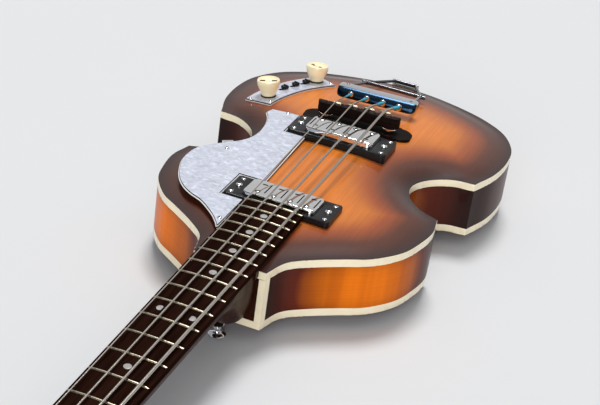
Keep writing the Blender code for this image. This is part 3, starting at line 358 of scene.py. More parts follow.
def joint_place(name):
    """Frame at a joint, with its axis as Z."""
    joint = next(joint for joint in frame["joints"] if joint["name"] == name)
    turn = Vector(joint["axis"]).to_track_quat("Z", "Y").to_matrix().to_4x4()
    return Matrix.Translation(joint["pos_m"]) @ turn


# ---------------------------------------------------------------- materials

def new_material(name, colour, roughness, metallic=0.0, coat=0.0, coat_roughness=0.03, specular=0.5):
    """A Principled material with its plain values set on the shader's own sockets."""
    made = bpy.data.materials.new(f"{name}_finish")
    made.use_nodes = True
    shader = made.node_tree.nodes["Principled BSDF"]
    shader.inputs["Base Color"].default_value = (*colour, 1)
    shader.inputs["Roughness"].default_value = roughness
    shader.inputs["Metallic"].default_value = metallic
    shader.inputs["Coat Weight"].default_value = coat
    shader.inputs["Coat Roughness"].default_value = coat_roughness
    shader.inputs["Specular IOR Level"].default_value = specular
    return made, made.node_tree.nodes, made.node_tree.links, shader


def finish_named(name):
    """The finish made above; the frame's own plain materials keep the bare names."""
    return bpy.data.materials[f"{name}_finish"]


def pattern_space(nodes, links, scale, turn=0.0):
    """Object coordinates turned about Z and stretched by a scale."""
    coordinates = nodes.new("ShaderNodeTexCoord")
    mapping = nodes.new("ShaderNodeMapping")
    mapping.inputs["Rotation"].default_value = (0, 0, turn)
    mapping.inputs["Scale"].default_value = scale
    links.new(coordinates.outputs["Object"], mapping.inputs["Vector"])
    return mapping.outputs["Vector"]


def noise(nodes, links, vector, scale, detail=3.0, roughness=0.5, distortion=0.0):
    made = nodes.new("ShaderNodeTexNoise")
    made.inputs["Scale"].default_value = scale
    made.inputs["Detail"].default_value = detail
    made.inputs["Roughness"].default_value = roughness
    made.inputs["Distortion"].default_value = distortion
    links.new(vector, made.inputs["Vector"])
    return made.outputs["Fac"]


def ramp(nodes, links, value, stops):
    """Colour ramp from (position, colour) stops."""
    made = nodes.new("ShaderNodeValToRGB")
    while len(made.color_ramp.elements) < len(stops):
        made.color_ramp.elements.new(0.5)
    for element, (position, colour) in zip(made.color_ramp.elements, stops):
        element.position = position
        element.color = (*colour, 1)
    links.new(value, made.inputs["Fac"])
    return made.outputs["Color"]


def blend_colour(nodes, links, factor, first, second, mode="MIX"):
    """Mix two colours, each a socket or a plain colour, by a socket or a number."""
    made = nodes.new("ShaderNodeMix")
    made.data_type = "RGBA"
    made.blend_type = mode
    for value, socket in zip((factor, first, second), (made.inputs[0], made.inputs[6], made.inputs[7])):
        if isinstance(value, bpy.types.NodeSocket):
            links.new(value, socket)
        elif isinstance(value, (int, float)):
            socket.default_value = value
        else:
            socket.default_value = (*value, 1)
    return made.outputs[2]


def calculate(nodes, links, operation, first, second=0.0, clamp=False):
    made = nodes.new("ShaderNodeMath")
    made.operation = operation
    made.use_clamp = clamp
    for value, socket in zip((first, second), made.inputs):
        if isinstance(value, bpy.types.NodeSocket):
            links.new(value, socket)
        else:
            socket.default_value = value
    return made.outputs["Value"]


def bump(nodes, links, shader, height, distance, strength=1.0):
    made = nodes.new("ShaderNodeBump")
    made.inputs["Distance"].default_value = distance
    made.inputs["Strength"].default_value = strength
    links.new(height, made.inputs["Height"])
    links.new(made.outputs["Normal"], shader.inputs["Normal"])


def attribute(nodes, name):
    made = nodes.new("ShaderNodeAttribute")
    made.attribute_name = name
    return made.outputs["Fac"]


def vary_roughness(nodes, links, shader, value, low, high):
    made = nodes.new("ShaderNodeMapRange")
    made.inputs["To Min"].default_value = low
    made.inputs["To Max"].default_value = high
    links.new(value, made.inputs["Value"])
    links.new(made.outputs["Result"], shader.inputs["Roughness"])


def lacquer_top(name):
    """Sunburst over straight-grained spruce: the tone attribute runs from 0 at the edge to 1 inside."""
    body = settings("body")
    made, nodes, links, shader = new_material(name, body.amber, 0.35, coat=0.5, coat_roughness=0.03,
                                               specular=0.15)
    space = pattern_space(nodes, links, (1, 0.02, 1))
    grain = noise(nodes, links, space, 420, 2.5, 0.55)
    cloud = noise(nodes, links, pattern_space(nodes, links, (1, 1, 1)), 14, 2.0, 0.5)
    shift = calculate(nodes, links, "MULTIPLY_ADD", cloud, 0.10)
    shift.node.inputs[2].default_value = -0.05
    tone = calculate(nodes, links, "ADD", attribute(nodes, "tone"), shift, clamp=True)
    amber = Vector(body.amber)
    brown = Vector(body.edge_brown)
    middle = amber.lerp(brown, 0.55)
    middle.y *= 0.75
    burst = ramp(nodes, links, tone, [(0.0, brown), (0.30, brown.lerp(middle, 0.25)), (0.52, middle),
                                      (0.74, amber * 0.8), (1.0, amber)])
    streak = ramp(nodes, links, grain, [(0.30, (0.62, 0.55, 0.50)), (0.62, (1.0, 1.0, 1.0))])
    links.new(blend_colour(nodes, links, 0.35, burst, streak, "MULTIPLY"), shader.inputs["Base Color"])
    return made


def lacquer_rib(name):
    """Sunburst over flamed maple: orange where the tone attribute is 1, brown-black where it is 0."""
    body = settings("body")
    made, nodes, links, shader = new_material(name, body.rib_orange, 0.35, coat=0.18, coat_roughness=0.04,
                                               specular=0.05)
    flame = noise(nodes, links, pattern_space(nodes, links, (1, 1, 0.06)), 75, 2.0, 0.5, 0.4)
    fleck = noise(nodes, links, pattern_space(nodes, links, (0.15, 0.15, 6)), 120, 2.0)
    orange = Vector(body.rib_orange)
    brown = Vector(body.edge_brown)
    red = Vector((0.13, 0.018, 0.006))
    burst = ramp(nodes, links, attribute(nodes, "tone"), [(0.0, brown), (0.35, red), (0.62, orange * 0.55),
                                                          (1.0, orange)])
    figure = ramp(nodes, links, flame, [(0.32, (0.62, 0.50, 0.45)), (0.66, (1.0, 1.0, 1.0))])
    warm = blend_colour(nodes, links, 0.45, burst, figure, "MULTIPLY")
    dust = ramp(nodes, links, fleck, [(0.35, (0.85, 0.82, 0.80)), (0.65, (1.0, 1.0, 1.0))])
    links.new(blend_colour(nodes, links, 0.5, warm, dust, "MULTIPLY"), shader.inputs["Base Color"])
    return made


def plain_lacquer(name, colour):
    """Dark gloss lacquer in which the wood just shows."""
    made, nodes, links, shader = new_material(name, colour, 0.3, coat=0.10, coat_roughness=0.08,
                                              specular=0.03)
    grain = noise(nodes, links, pattern_space(nodes, links, (1, 0.03, 1)), 260, 3.0)
    tint = ramp(nodes, links, grain, [(0.3, Vector(colour) * 0.55), (0.7, Vector(colour) * 1.3)])
    links.new(tint, shader.inputs["Base Color"])
    return made


def open_wood(name, colour, stretch, scale, roughness, depth, coat=0.0, specular=0.1):
    """Oiled or bare wood with pores along its grain."""
    made, nodes, links, shader = new_material(name, colour, roughness, coat=coat, coat_roughness=0.2,
                                              specular=specular)
    space = pattern_space(nodes, links, stretch)
    pores = noise(nodes, links, space, scale, 5.0, 0.6)
    bands = noise(nodes, links, space, scale / 9, 2.0)
    colour = Vector(colour)
    tint = ramp(nodes, links, bands, [(0.3, colour * 0.65), (0.7, colour * 1.45)])
    dark = ramp(nodes, links, pores, [(0.36, (0.45, 0.40, 0.36)), (0.56, (1.0, 1.0, 1.0))])
    links.new(blend_colour(nodes, links, 0.7, tint, dark, "MULTIPLY"), shader.inputs["Base Color"])
    vary_roughness(nodes, links, shader, pores, roughness + 0.12, roughness - 0.08)
    bump(nodes, links, shader, pores, depth)
    return made


def plastic(name, colour, roughness=0.2, spread=0.08, coat=0.3, scale=60, specular=0.5):
    """Moulded plastic with faint clouding and a fine skin."""
    made, nodes, links, shader = new_material(name, colour, roughness, coat=coat, coat_roughness=0.06,
                                               specular=specular)
    cloud = noise(nodes, links, pattern_space(nodes, links, (1, 1, 1)), scale, 3.0)
    colour = Vector(colour)
    tint = ramp(nodes, links, cloud, [(0.3, colour * (1 - spread)), (0.7, colour * (1 + spread))])
    links.new(tint, shader.inputs["Base Color"])
    vary_roughness(nodes, links, shader, cloud, roughness - 0.05, roughness + 0.05)
    return made


def metal(name, colour, roughness, spread=0.04, scale=300, depth=0.000004):
    """Plated or plain metal with faint handling marks."""
    made, nodes, links, shader = new_material(name, colour, roughness, metallic=1.0)
    marks = noise(nodes, links, pattern_space(nodes, links, (1, 1, 1)), scale, 4.0, 0.6)
    colour = Vector(colour)
    tint = ramp(nodes, links, marks, [(0.3, colour * 0.93), (0.7, colour)])
    links.new(tint, shader.inputs["Base Color"])
    vary_roughness(nodes, links, shader, marks, max(roughness - spread, 0.02), roughness + spread)
    bump(nodes, links, shader, marks, depth)
    return made


def pearl(name, colour):
    """White pearl sheet: crumpled flakes of slightly different whites, some of them bright."""
    made, nodes, links, shader = new_material(name, colour, 0.22, coat=0.8, coat_roughness=0.04)
    space = pattern_space(nodes, links, (0.7, 1, 1))
    warp = noise(nodes, links, space, 210, 4.0, 0.6, 1.0)
    flakes = nodes.new("ShaderNodeTexVoronoi")
    flakes.feature = "SMOOTH_F1"
    flakes.inputs["Scale"].default_value = 190
    flakes.inputs["Smoothness"].default_value = 0.6
    pushed = nodes.new("ShaderNodeVectorMath")
    pushed.operation = "MULTIPLY_ADD"
    links.new(warp, pushed.inputs[0])
    pushed.inputs[1].default_value = (0.03, 0.03, 0.03)
    links.new(space, pushed.inputs[2])
    links.new(pushed.outputs["Vector"], flakes.inputs["Vector"])
    base = Vector(colour)
    sheet = ramp(nodes, links, warp, [(0.30, base * 0.78), (0.46, base * 0.95), (0.58, base * 1.08),
                                      (0.70, base * 1.35)])
    spark = ramp(nodes, links, flakes.outputs["Distance"],
                 [(0.0, (1.0, 1.0, 1.0)), (0.35, (0.93, 0.94, 0.97)),
                                                            (0.8, (0.86, 0.88, 0.93))])
    links.new(blend_colour(nodes, links, 0.6, sheet, spark, "MULTIPLY"), shader.inputs["Base Color"])
    bump(nodes, links, shader, warp, 0.0001, 0.3)
    return made


def wound_string(name, colour):
    """Flat-wound steel: fine bands across the string, each darker in its seam as painted shade."""
    made, nodes, links, shader = new_material(name, colour, 0.22, metallic=1.0)
    bands = nodes.new("ShaderNodeTexWave")
    bands.bands_direction = "Y"
    bands.inputs["Scale"].default_value = 420
    links.new(pattern_space(nodes, links, (1, 1, 1)), bands.inputs["Vector"])
    colour = Vector(colour)
    # Darker where the bands dip: painted shade in the seams between windings
    links.new(ramp(nodes, links, bands.outputs["Fac"], [(0.0, colour * 0.75), (0.4, colour)]),
              shader.inputs["Base Color"])
    bump(nodes, links, shader, bands.outputs["Fac"], 0.00002, 0.5)
    return made


def floor_finish(name, colour):
    made, nodes, links, shader = new_material(name, colour, 0.75)
    cloud = noise(nodes, links, pattern_space(nodes, links, (1, 1, 1)), 2.0, 2.0)
    colour = Vector(colour)
    links.new(ramp(nodes, links, cloud, [(0.3, colour * 0.985), (0.7, colour)]), shader.inputs["Base Color"])
    return made


def make_materials():
    body, neck, hardware = settings("body"), settings("neck"), settings("hardware")
    lacquer_top("top_lacquer")
    lacquer_rib("rib_lacquer")
    plain_lacquer("neck_lacquer", neck.neck_brown)
    plastic("binding_cream", body.cream, 0.22, 0.05)
    open_wood("bare_spruce", (0.62, 0.45, 0.26), (1, 0.05, 1), 220, 0.65, 0.00004)
    open_wood("rosewood", neck.board_brown, (1, 0.035, 1), 520, 0.6, 0.00003, specular=0.0)
    open_wood("ebony", (0.011, 0.006, 0.005), (0.06, 1, 1), 420, 0.4, 0.00002, 0.03, 0.03)
    plastic("bone", (0.80, 0.72, 0.55), 0.3, 0.04)
    metal("steel", (0.52, 0.51, 0.50), 0.32)
    metal("chrome", (0.80, 0.81, 0.83), 0.05, 0.02)
    metal("nickel", (0.95, 0.95, 0.94), 0.08, 0.03)
    metal("fret_wire", (0.46, 0.41, 0.30), 0.28, 0.03)
    # Dark blue metal for the tail bar's front: its dark reflection painted into the colour
    metal("bar_front_painted_shade", (0.016, 0.034, 0.06), 0.2, 0.03)
    # Dark chrome for the tailpiece rods: their dim reflection painted into the colour
    metal("rod_chrome", (0.14, 0.14, 0.15), 0.15, 0.03)
    pearl("pearl_sheet", hardware.pearl_white)
    pearl("dot_pearl", (0.34, 0.33, 0.31))
    plastic("white_layer", (0.75, 0.74, 0.72), 0.25, 0.04)
    plastic("black_layer", (0.010, 0.010, 0.011), 0.25, 0.2)
    plastic("black_plastic", (0.009, 0.009, 0.010), 0.22, 0.2, 0.12, specular=0.2)
    plastic("knob_cream", hardware.knob_cream, 0.3, 0.04)
    # Dark brown for the painted shade beside each knob's raised bar
    plastic("groove_brown", (0.09, 0.035, 0.012), 0.5, 0.2, 0.0, specular=0.0)
    # Near-black painted shade for screw recesses, pole screw slots, cover slots and switch slots
    plastic("slot_dark", (0.004, 0.004, 0.004), 0.6, 0.2, 0.0, specular=0.0)
    wound_string("wound_steel", (0.55, 0.50, 0.44))
    plastic("silk", hardware.silk_blue, 0.5, 0.2, 0.0, 900)
    floor_finish("floor", settings("stage").floor_grey)


# ---------------------------------------------------------------- body

def nearest_edge(path):
    """Search tree over a closed outline, to measure how far a point is from it."""
    tree = KDTree(len(path))
    for index, point in enumerate(path):
        tree.insert((point.x, point.y, 0), index)
    tree.balance()
    return tree


def width_at(path, y):
    """Half width of an outline at a place along the body."""
    for before, after in zip(path, path[1:]):
        if after.y <= y <= before.y and before.y > after.y:
            return before.x + (after.x - before.x) * (before.y - y) / (before.y - after.y)
    return path[0].x if y > path[0].y else path[-1].x


def arched_sheet(arch, columns=56):
    """Thin skin over the body's outline, crowned in the middle, with a tone attribute for the burst.

    The crown follows the outline's width averaged over the waist, and fades out close to the edge.
    """
    edge = inset(half_outline(), 0.15 * MM)[1:]
    rows = len(edge)
    burst = settings("body").burst_width
    tree = nearest_edge(whole(half_outline()))
    bm = bmesh.new()
    bmesh.ops.create_grid(bm, x_segments=columns, y_segments=rows - 1, size=1)
    tone = bm.verts.layers.float.new("tone")
    weights = [(reach * 3 * MM, math.cos(reach / 14 * math.pi / 2)) for reach in range(-13, 14)]
    total = sum(weight for _, weight in weights)
    average = [sum(weight * width_at(edge, point.y + reach) for reach, weight in weights) / total
               for point in edge]
    for vert in bm.verts:
        row = round((1 - vert.co.y) / 2 * (rows - 1))
        half, y = edge[row]
        across = vert.co.x * half
        along = min(max((y - TAIL_Y) / (NECK_END_Y - TAIL_Y), 0.0), 1.0)
        crown = math.sin(math.pi * along ** 0.771) * (1 - min(abs(across) / average[row], 1.0) ** 2.5)
        _, _, distance = tree.find((across, y, 0))
        fade = 1 - (1 - min(distance / (20 * MM), 1.0)) ** 2
        vert.co = (across, y, arch * crown * fade + math.copysign(0.1 * MM, arch))
        vert[tone] = min(distance / burst, 1.0)
    return bm


class Surface:
    """Height of the arched top, found by looking straight down on it."""
    tree = None

    @classmethod
    def height(cls, x, y):
        hit = cls.tree.ray_cast(Vector((x, y, 0.1)), Vector((0, 0, -1)))[0]
        return hit.z if hit else 0.0


def make_plates():
    for name, arch, finish in (("top_plate", TOP_ARCH, "top_lacquer"),
                               ("back_plate", -BACK_ARCH, "rib_lacquer")):
        bm = arched_sheet(arch)
        if arch > 0:
            Surface.tree = BVHTree.FromBMesh(bm)
            for y, _, _ in PICKUPS.values():
                cut_window(bm, 46 * MM, y, 15.7 * MM)
        else:
            tone = bm.verts.layers.float["tone"]
            for vert in bm.verts:
                vert.co.z = max(vert.co.z, -BACK_ARCH + 0.05 * MM)
                vert[tone] = 0.25 + 0.5 * vert[tone]
            bmesh.ops.translate(bm, vec=(0, 0, -RIM_HEIGHT), verts=bm.verts)
        bmesh.ops.recalc_face_normals(bm, faces=bm.faces)
        upward = sum(face.normal.z * face.calc_area() for face in bm.faces) > 0
        if upward != (arch > 0):
            bmesh.ops.reverse_faces(bm, faces=bm.faces)
        bmesh.ops.solidify(bm, geom=bm.faces[:], thickness=3 * MM)
        piece(name, bm, finish, replaces=[name], flip=False)


def cut_window(bm, half_x, centre_y, half_y):
    """Open a rectangular hole in a sheet."""
    for side in (-1, 1):
        for point, normal in (((side * half_x, 0, 0), (1, 0, 0)),
                              ((0, centre_y + side * half_y, 0), (0, 1, 0))):
            bmesh.ops.bisect_plane(bm, geom=bm.verts[:] + bm.edges[:] + bm.faces[:], plane_co=point,
                                   plane_no=normal, dist=1e-7)
    inside = [face for face in bm.faces
              if abs(face.calc_center_median().x) < half_x
              and abs(face.calc_center_median().y - centre_y) < half_y]
    bmesh.ops.delete(bm, geom=inside, context="FACES")


def rib_tone(along, bout):
    """Brightness of the burst along one stretch of the ribs, from 0 at its corners."""
    peak = {"upper": 1.0, "waist": 0.52, "lower": 0.85}[bout]
    return peak * math.sin(math.pi * min(max(along, 0), 1)) ** 1.9


def make_ribs():
    """Bent sides, brighter in the middle of each bout and darker at the corners."""
    outer = half_outline()
    inner = inset(outer, 2.5 * MM)
    counts = (64, 48, 72)
    levels = [(-BINDING_HEIGHT - 0.02 * MM) * (1 - share) + (-RIM_HEIGHT + BINDING_HEIGHT) * share
              for share in [step / 6 for step in range(7)]]
    for name, side in (("rib_treble_side", 1), ("rib_bass_side", -1)):
        bm = bmesh.new()
        tone = bm.verts.layers.float.new("tone")
        start = [bm.verts.new((side * outer[0].x, outer[0].y, level)) for level in levels]
        start += [bm.verts.new((side * inner[0].x, inner[0].y, level)) for level in reversed(levels)]
        face = bm.faces.new(start)
        for index in range(1, len(outer)):
            grown = bmesh.ops.extrude_face_region(bm, geom=[face])["geom"]
            if index > 1:
                bmesh.ops.delete(bm, geom=[face], context="FACES_ONLY")
            face = next(item for item in grown if isinstance(item, bmesh.types.BMFace))
            place = index - 1
            if place <= counts[0]:
                value = rib_tone(0.02 + 0.98 * place / counts[0], "upper")
            elif place <= counts[0] + counts[1]:
                value = rib_tone((place - counts[0]) / counts[1], "waist")
            else:
                value = rib_tone(0.02 + 0.5 * (place - counts[0] - counts[1]) / counts[2], "lower")
            lines = [outer[index]] * len(levels) + [inner[index]] * len(levels)
            for vert, point, level in zip(face.verts, lines, levels + levels[::-1]):
                vert.co = (side * point.x, point.y, level)
                middle = 1 - abs(2 * (level - levels[0]) / (levels[-1] - levels[0]) - 1)
                vert[tone] = value * (0.78 + 0.22 * min(middle * 2.2, 1))
        piece(name, bm, "rib_lacquer", replaces=[name])


def make_bindings():
    outer = half_outline()
    loops = [whole(outer), whole(inset(outer, BINDING_THICKNESS))]
    for name, low, high in (("top_binding", -BINDING_HEIGHT, 0.0),
                            ("back_binding", -RIM_HEIGHT, -RIM_HEIGHT + BINDING_HEIGHT)):
        bm = bmesh.new()
        edges = []
        for loop in loops:
            verts = [bm.verts.new((point.x, point.y, low)) for point in loop]
            edges += [bm.edges.new((verts[index - 1], verts[index])) for index in range(len(verts))]
        bmesh.ops.bridge_loops(bm, edges=edges)
        grown = bmesh.ops.extrude_face_region(bm, geom=bm.faces[:])["geom"]
        for vert in (item for item in grown if isinstance(item, bmesh.types.BMVert)):
            vert.co.z = high
        soften(bm, 0.35 * MM, 2, 60)
        piece(name, bm, "binding_cream", replaces=[name])


def make_corner_strips():
    """Cream strips that cover the corners beside the neck, and the brown panel between them."""
    low, high = -RIM_HEIGHT + BINDING_HEIGHT, -BINDING_HEIGHT
    corner = Vector((32.0 * MM, NECK_END_Y + 0.3 * MM))
    along_rib = corner + Vector((1.55, -5.8)) * MM
    end_face = corner + Vector((-5.4, 0)) * MM
    shape = [corner, along_rib, along_rib + Vector((-1.9, -0.5)) * MM, corner + Vector((-2.0, -2.0)) * MM,
             end_face + Vector((0, -1.5)) * MM, end_face]
    strips = [slab([(side * point.x, point.y) for point in shape], low, high) for side in (-1, 1)]
    piece("corner_strips", joined(strips), "binding_cream")
    piece("end_panel", box((0, NECK_END_Y - 0.2 * MM, -RIM_HEIGHT / 2), (58.6 * MM, 0.8 * MM, high - low)),
          "neck_lacquer")


# ---------------------------------------------------------------- neck

def board_half_width(y):
    last_fret = SCALE_LENGTH * 2 ** (-22 / 12)
    share = (SCALE_LENGTH - y) / (SCALE_LENGTH - last_fret)
    return (42.1 + (53.6 - 42.1) * share) / 2 * MM


def board_drop(x):
    radius = 300 * MM
    return radius - math.sqrt(radius ** 2 - x * x)


def fret_line(number):
    return SCALE_LENGTH * 2 ** (-number / 12)


def make_fretboard():
    rings = []
    for y in (212 * MM, 240 * MM, 400 * MM, 600 * MM, SCALE_LENGTH + 1 * MM):
        half = board_half_width(y)
        across = [half * (step / 6 - 1) for step in range(13)]
        rings.append([(half, y, -BOARD_THICKNESS), (-half, y, -BOARD_THICKNESS)]
                     + [(x, y, -board_drop(x)) for x in across])
    piece("fretboard", soften(loft(rings), 0.35 * MM, 2, 50), "rosewood", replaces=["fretboard"],
          place=NECK)
    for number in range(1, settings("neck").fret_count + 1):
        y = fret_line(number)
        half = board_half_width(y) - 0.35 * MM
        rings = []
        for step in range(9):
            x = half * (step / 4 - 1)
            fade = 0.35 if step in (0, 8) else 1.0
            level = -board_drop(x)
            rings.append([(x, y - 1.0 * MM, level - 0.4 * MM), (x, y - 1.0 * MM, level + 0.1 * MM),
                          (x, y - 0.7 * MM, level + 0.75 * MM * fade), (x, y, level + 1.05 * MM * fade),
                          (x, y + 0.7 * MM, level + 0.75 * MM * fade), (x, y + 1.0 * MM, level + 0.1 * MM),
                          (x, y + 1.0 * MM, level - 0.4 * MM)])
        piece(f"fret_{number:02d}", loft(rings), "fret_wire", place=NECK, smooth=50)
    radius = settings("neck").dot_radius
    for number in (3, 5, 7, 9, 12, 15, 17, 19, 21):
        y = (fret_line(number) + fret_line(number - 1)) / 2
        for x in ((-13.1 * MM, 13.1 * MM) if number == 12 else (0.0,)):
            level = -board_drop(x)
            dot = turned([(0, 0.06 * MM), (radius * 0.9, 0.06 * MM), (radius, 0), (radius, -0.8 * MM),
                          (0, -0.8 * MM)],
                         24, Matrix.Translation((x, y, level)))
            side = "" if number != 12 else ("_bass" if x < 0 else "_treble")
            piece(f"dot_{number:02d}{side}", dot, "dot_pearl", place=NECK)


def neck_ring(y, half, top, depth, roundness, steps=20):
    """Cross-section of the neck: flat under the board, rounded behind."""
    ring = [(half, y, top), (-half, y, top)]
    for step in range(steps + 1):
        angle = math.pi * (1 + step / steps)
        x = math.copysign(abs(math.cos(angle)) ** roundness, math.cos(angle))
        z = -abs(math.sin(angle)) ** roundness
        ring.append((half * x, y, top - 1.5 * MM + z * (depth - 1.5 * MM)))
    return ring


def make_neck():
    top = -BOARD_THICKNESS - 0.05 * MM
    joint = 301.2 * MM
    stations = [(0, 51.5, 0.93), (8, 51.5, 0.92), (18, 47, 0.90), (27, 36, 0.93), (36, 25, 0.97),
                (50, 19.5, 1.0), (90, 18, 1.0), (250, 17, 1.0), (430, 16, 1.0), (452, 16, 1.0)]
    rings = []
    for y, depth, narrow in smooth_curve([station[:3] for station in stations], 54):
        place = joint + y
        roundness = 0.5 + 0.5 * min(y / (60 * MM), 1.0)
        rings.append(neck_ring(place, board_half_width(place) * min(narrow / MM, 1.0), top,
                               min(depth, 51.5 * MM), roundness))
    to_neck = NECK.inverted() @ HEAD
    for y, half in smooth_curve(HEAD_OUTLINE, 32):
        ring = neck_ring(y, half, 0, 13.5 * MM, 0.35)
        rings.append([to_neck @ Vector(point) for point in ring])
    bm = loft(rings)
    soften(bm, 0.6 * MM, 2, 65)
    tongue = slab([(-25.5 * MM, 216 * MM), (25.5 * MM, 216 * MM), (25.5 * MM, 304 * MM),
                   (-25.5 * MM, 304 * MM)],
                  top - 8 * MM, top, 0.5 * MM)
    piece("neck", bm, "neck_lacquer", replaces=["neck"], place=NECK, smooth=45)
    piece("neck_extension", tongue, "neck_lacquer", place=NECK)
    nut = loft([[(-21.2 * MM, y, -5 * MM), (21.2 * MM, y, -5 * MM), (21.2 * MM, y, high),
                 (0, y, high + 0.6 * MM), (-21.2 * MM, y, high)]
                for y, high in ((764 * MM, 1.0 * MM), (768.2 * MM, 0.2 * MM))])
    piece("nut", soften(nut, 0.4 * MM, 2, 50), "bone", replaces=["nut"], place=NECK)
    cover = smooth_curve([(-9, 6), (9, 6), (10, 14), (8, 26), (4.5, 36), (0, 40), (-4.5, 36), (-8, 26),
                          (-10, 14),
                          (-9, 6)], 36)[:-1]
    piece("truss_rod_cover", slab(cover, 0.1 * MM, 2.2 * MM, 0.4 * MM), "black_plastic",
          replaces=["truss_rod_cover"], place=HEAD)


# ---------------------------------------------------------------- screws

def small_screw(radius, height, cross=True):
    """Domed screw head with its recess, as a head and a dark cross to set on it: the cross is painted shade in
    the recess.
    """
    head = turned([(0, height), (radius * 0.45, height * 0.96), (radius * 0.8, height * 0.7),
                   (radius, height * 0.2),
                   (radius, -0.4 * MM), (0, -0.4 * MM)], 20)
    arms = [box((0, 0, height * 0.86), (radius * 1.15, radius * 0.26, height * 0.4))]
    if cross:
        arms.append(box((0, 0, height * 0.86), (radius * 0.26, radius * 1.15, height * 0.4)))
    return head, joined(arms)


def make_screws(name, spots, radius, height, body="instrument", cross=True, place=BODY, turn=0.4):
    """A set of like screws: one piece of heads and one of the painted shade in their recesses. Each spot is a
    matrix.
    """
    heads, recess_shades = [], []
    for count, spot in enumerate(spots):
        head, recess = small_screw(radius, height, cross)
        spot = spot @ Matrix.Rotation(turn + 1.3 * count, 4, "Z")
        heads.append(placed(head, spot))
        recess_shades.append(placed(recess, spot))
    piece(f"{name}_heads", joined(heads), "nickel", body, place=place, smooth=50)
    piece(f"{name}_recesses", joined(recess_shades), "slot_dark", body, place=place)


# ---------------------------------------------------------------- tuners

def make_tuners():
    for letter in "eadg":
        key = joint_place(f"key_{letter}_spin")
        post = joint_place(f"post_{letter}_spin")
        side = -1 if letter in "ea" else 1
        reach = 15 * MM
        profile = [(0, reach), (3.4 * MM, reach), (4.5 * MM, reach - 0.9 * MM), (4.4 * MM, reach - 2.4 * MM),
                   (3.7 * MM, reach - 4 * MM), (3.7 * MM, reach - 9 * MM), (4.5 * MM, reach - 11.6 * MM),
                   (4.5 * MM, -15 * MM), (6 * MM, -15.1 * MM), (6 * MM, -19.6 * MM), (5.4 * MM, -19.9 * MM),
                   (0, -19.9 * MM)]
        piece(f"tuner_post_{letter}", turned(profile, 32), "nickel", f"post_{letter}",
              replaces=[f"tuner_post_{letter}"], place=post)
        teeth = []
        for tooth in range(14):
            turn = Matrix.Rotation(math.tau * tooth / 14, 4, "Z")
            teeth.append(placed(box((5.95 * MM, 0, -17.4 * MM), (0.5 * MM, 1.1 * MM, 4.2 * MM), 0.1 * MM, 1),
                                turn))
        piece(f"gear_teeth_{letter}", joined(teeth), "nickel", f"post_{letter}", place=post)
        along = Matrix.Rotation(math.pi if side < 0 else 0, 4, "X")
        length = 21 * MM
        worm = [(0, -9.8 * MM), (1.5 * MM, -9.8 * MM), (1.5 * MM, -6.6 * MM)]
        for step in range(9):
            z = (-6.2 + 12.4 * step / 8) * MM
            worm += [(2.2 * MM, z - 0.3 * MM), (2.9 * MM, z)]
        worm += [(1.5 * MM, 6.8 * MM), (1.5 * MM, length), (3.0 * MM, length + 0.6 * MM),
                 (3.2 * MM, length + 1.4 * MM),
                 (3.2 * MM, length + 3.6 * MM), (2.6 * MM, length + 4.6 * MM), (1.8 * MM, length + 6 * MM),
                 (0, length + 6 * MM)]
        stalk = turned(worm, 24)
        button = slab(rounded_rectangle(10.5 * MM, 7 * MM, 6.5 * MM, 8), -2.4 * MM, 2.4 * MM, 1.1 * MM, 3)
        button = placed(button, Matrix.Translation((0, 0, length + 12 * MM))
                        @ Matrix.Rotation(math.pi / 2, 4, "X"))
        piece(f"tuner_key_{letter}", joined([stalk, button]), "nickel", f"key_{letter}",
              replaces=[f"tuner_key_{letter}"], place=key @ along)
        _, radius, *_ = next(string for string in STRINGS if string[0] == letter)
        radius *= MM
        turns = []
        for count in (1, 2):
            middle = 8.4 * MM - count * (2 * radius + 0.1 * MM)
            turns.append(turned([(4.0 * MM + radius * (1.2 + math.cos(angle)),
                                  middle + radius * math.sin(angle))
                                 for angle in [math.tau * step / 12 for step in range(12)]], 32))
        piece(f"string_winding_{letter}", joined(turns), "wound_steel", f"post_{letter}",
              place=post)


# ---------------------------------------------------------------- strings

def make_strings():
    carrier_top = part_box("bridge_saddle_carrier")[1].z - BODY.translation.z
    to_body = BODY.inverted() @ NECK
    head_to_body = BODY.inverted() @ HEAD
    for letter, radius, nut_x, saddle_x, saddle_y, tail_x in STRINGS:
        radius *= MM
        row = 34 * MM if letter in "eg" else 94 * MM
        side = -1 if letter in "ea" else 1
        post_x = side * (21 * MM - 4.5 * MM - GAP - radius)
        tail = Vector((tail_x * MM, -37.5 * MM, TAIL_BAR_TOP - 5.5 * MM))
        crown = Vector((saddle_x * MM, saddle_y * MM, carrier_top + 1.3 * MM + radius))
        nut = to_body @ Vector((nut_x * MM, 766 * MM, 1.6 * MM + radius))
        post = head_to_body @ Vector((post_x, row, 8.5 * MM))
        run = [tail]
        for before, bend, after in ((tail, crown, nut), (crown, nut, post)):
            start = bend + (before - bend).normalized() * 5 * MM
            end = bend + (after - bend).normalized() * 5 * MM
            for step in range(9):
                t = step / 8
                run.append(start.lerp(bend, t).lerp(bend.lerp(end, t), t))
        run.append(post)
        curve = bpy.data.curves.new(f"string_{letter}", "CURVE")
        curve.dimensions = "3D"
        curve.bevel_depth = radius
        curve.bevel_resolution = 5
        curve.use_fill_caps = True
        spline = curve.splines.new("POLY")
        spline.points.add(len(run) - 1)
        for point, spot in zip(spline.points, run):
            point.co = (*spot, 1)
        curve.transform(BODY)
        curve.materials.append(finish_named("wound_steel"))
        made = bpy.data.objects.new(f"string_{letter}", curve)
        bpy.context.scene.collection.objects.link(made)
        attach(made, "instrument")
        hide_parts(f"string_{letter}")
        lead = (crown - tail).normalized()
        start = tail + lead * 4 * MM
        piece(f"silk_{letter}", rod(start, start + lead * 17 * MM, radius + 0.6 * MM, 16, radius + 0.3 * MM),
              "silk")


# ---------------------------------------------------------------- bridge and tailpiece

BRIDGE = Matrix.Translation((0, 11 * MM, 0)) @ Matrix.Rotation(math.radians(5), 4, "Z")


CARRIER_SEAMS = (-32, -16, 0, 16, 32)
CARRIER_FOOT = 2.4 * MM


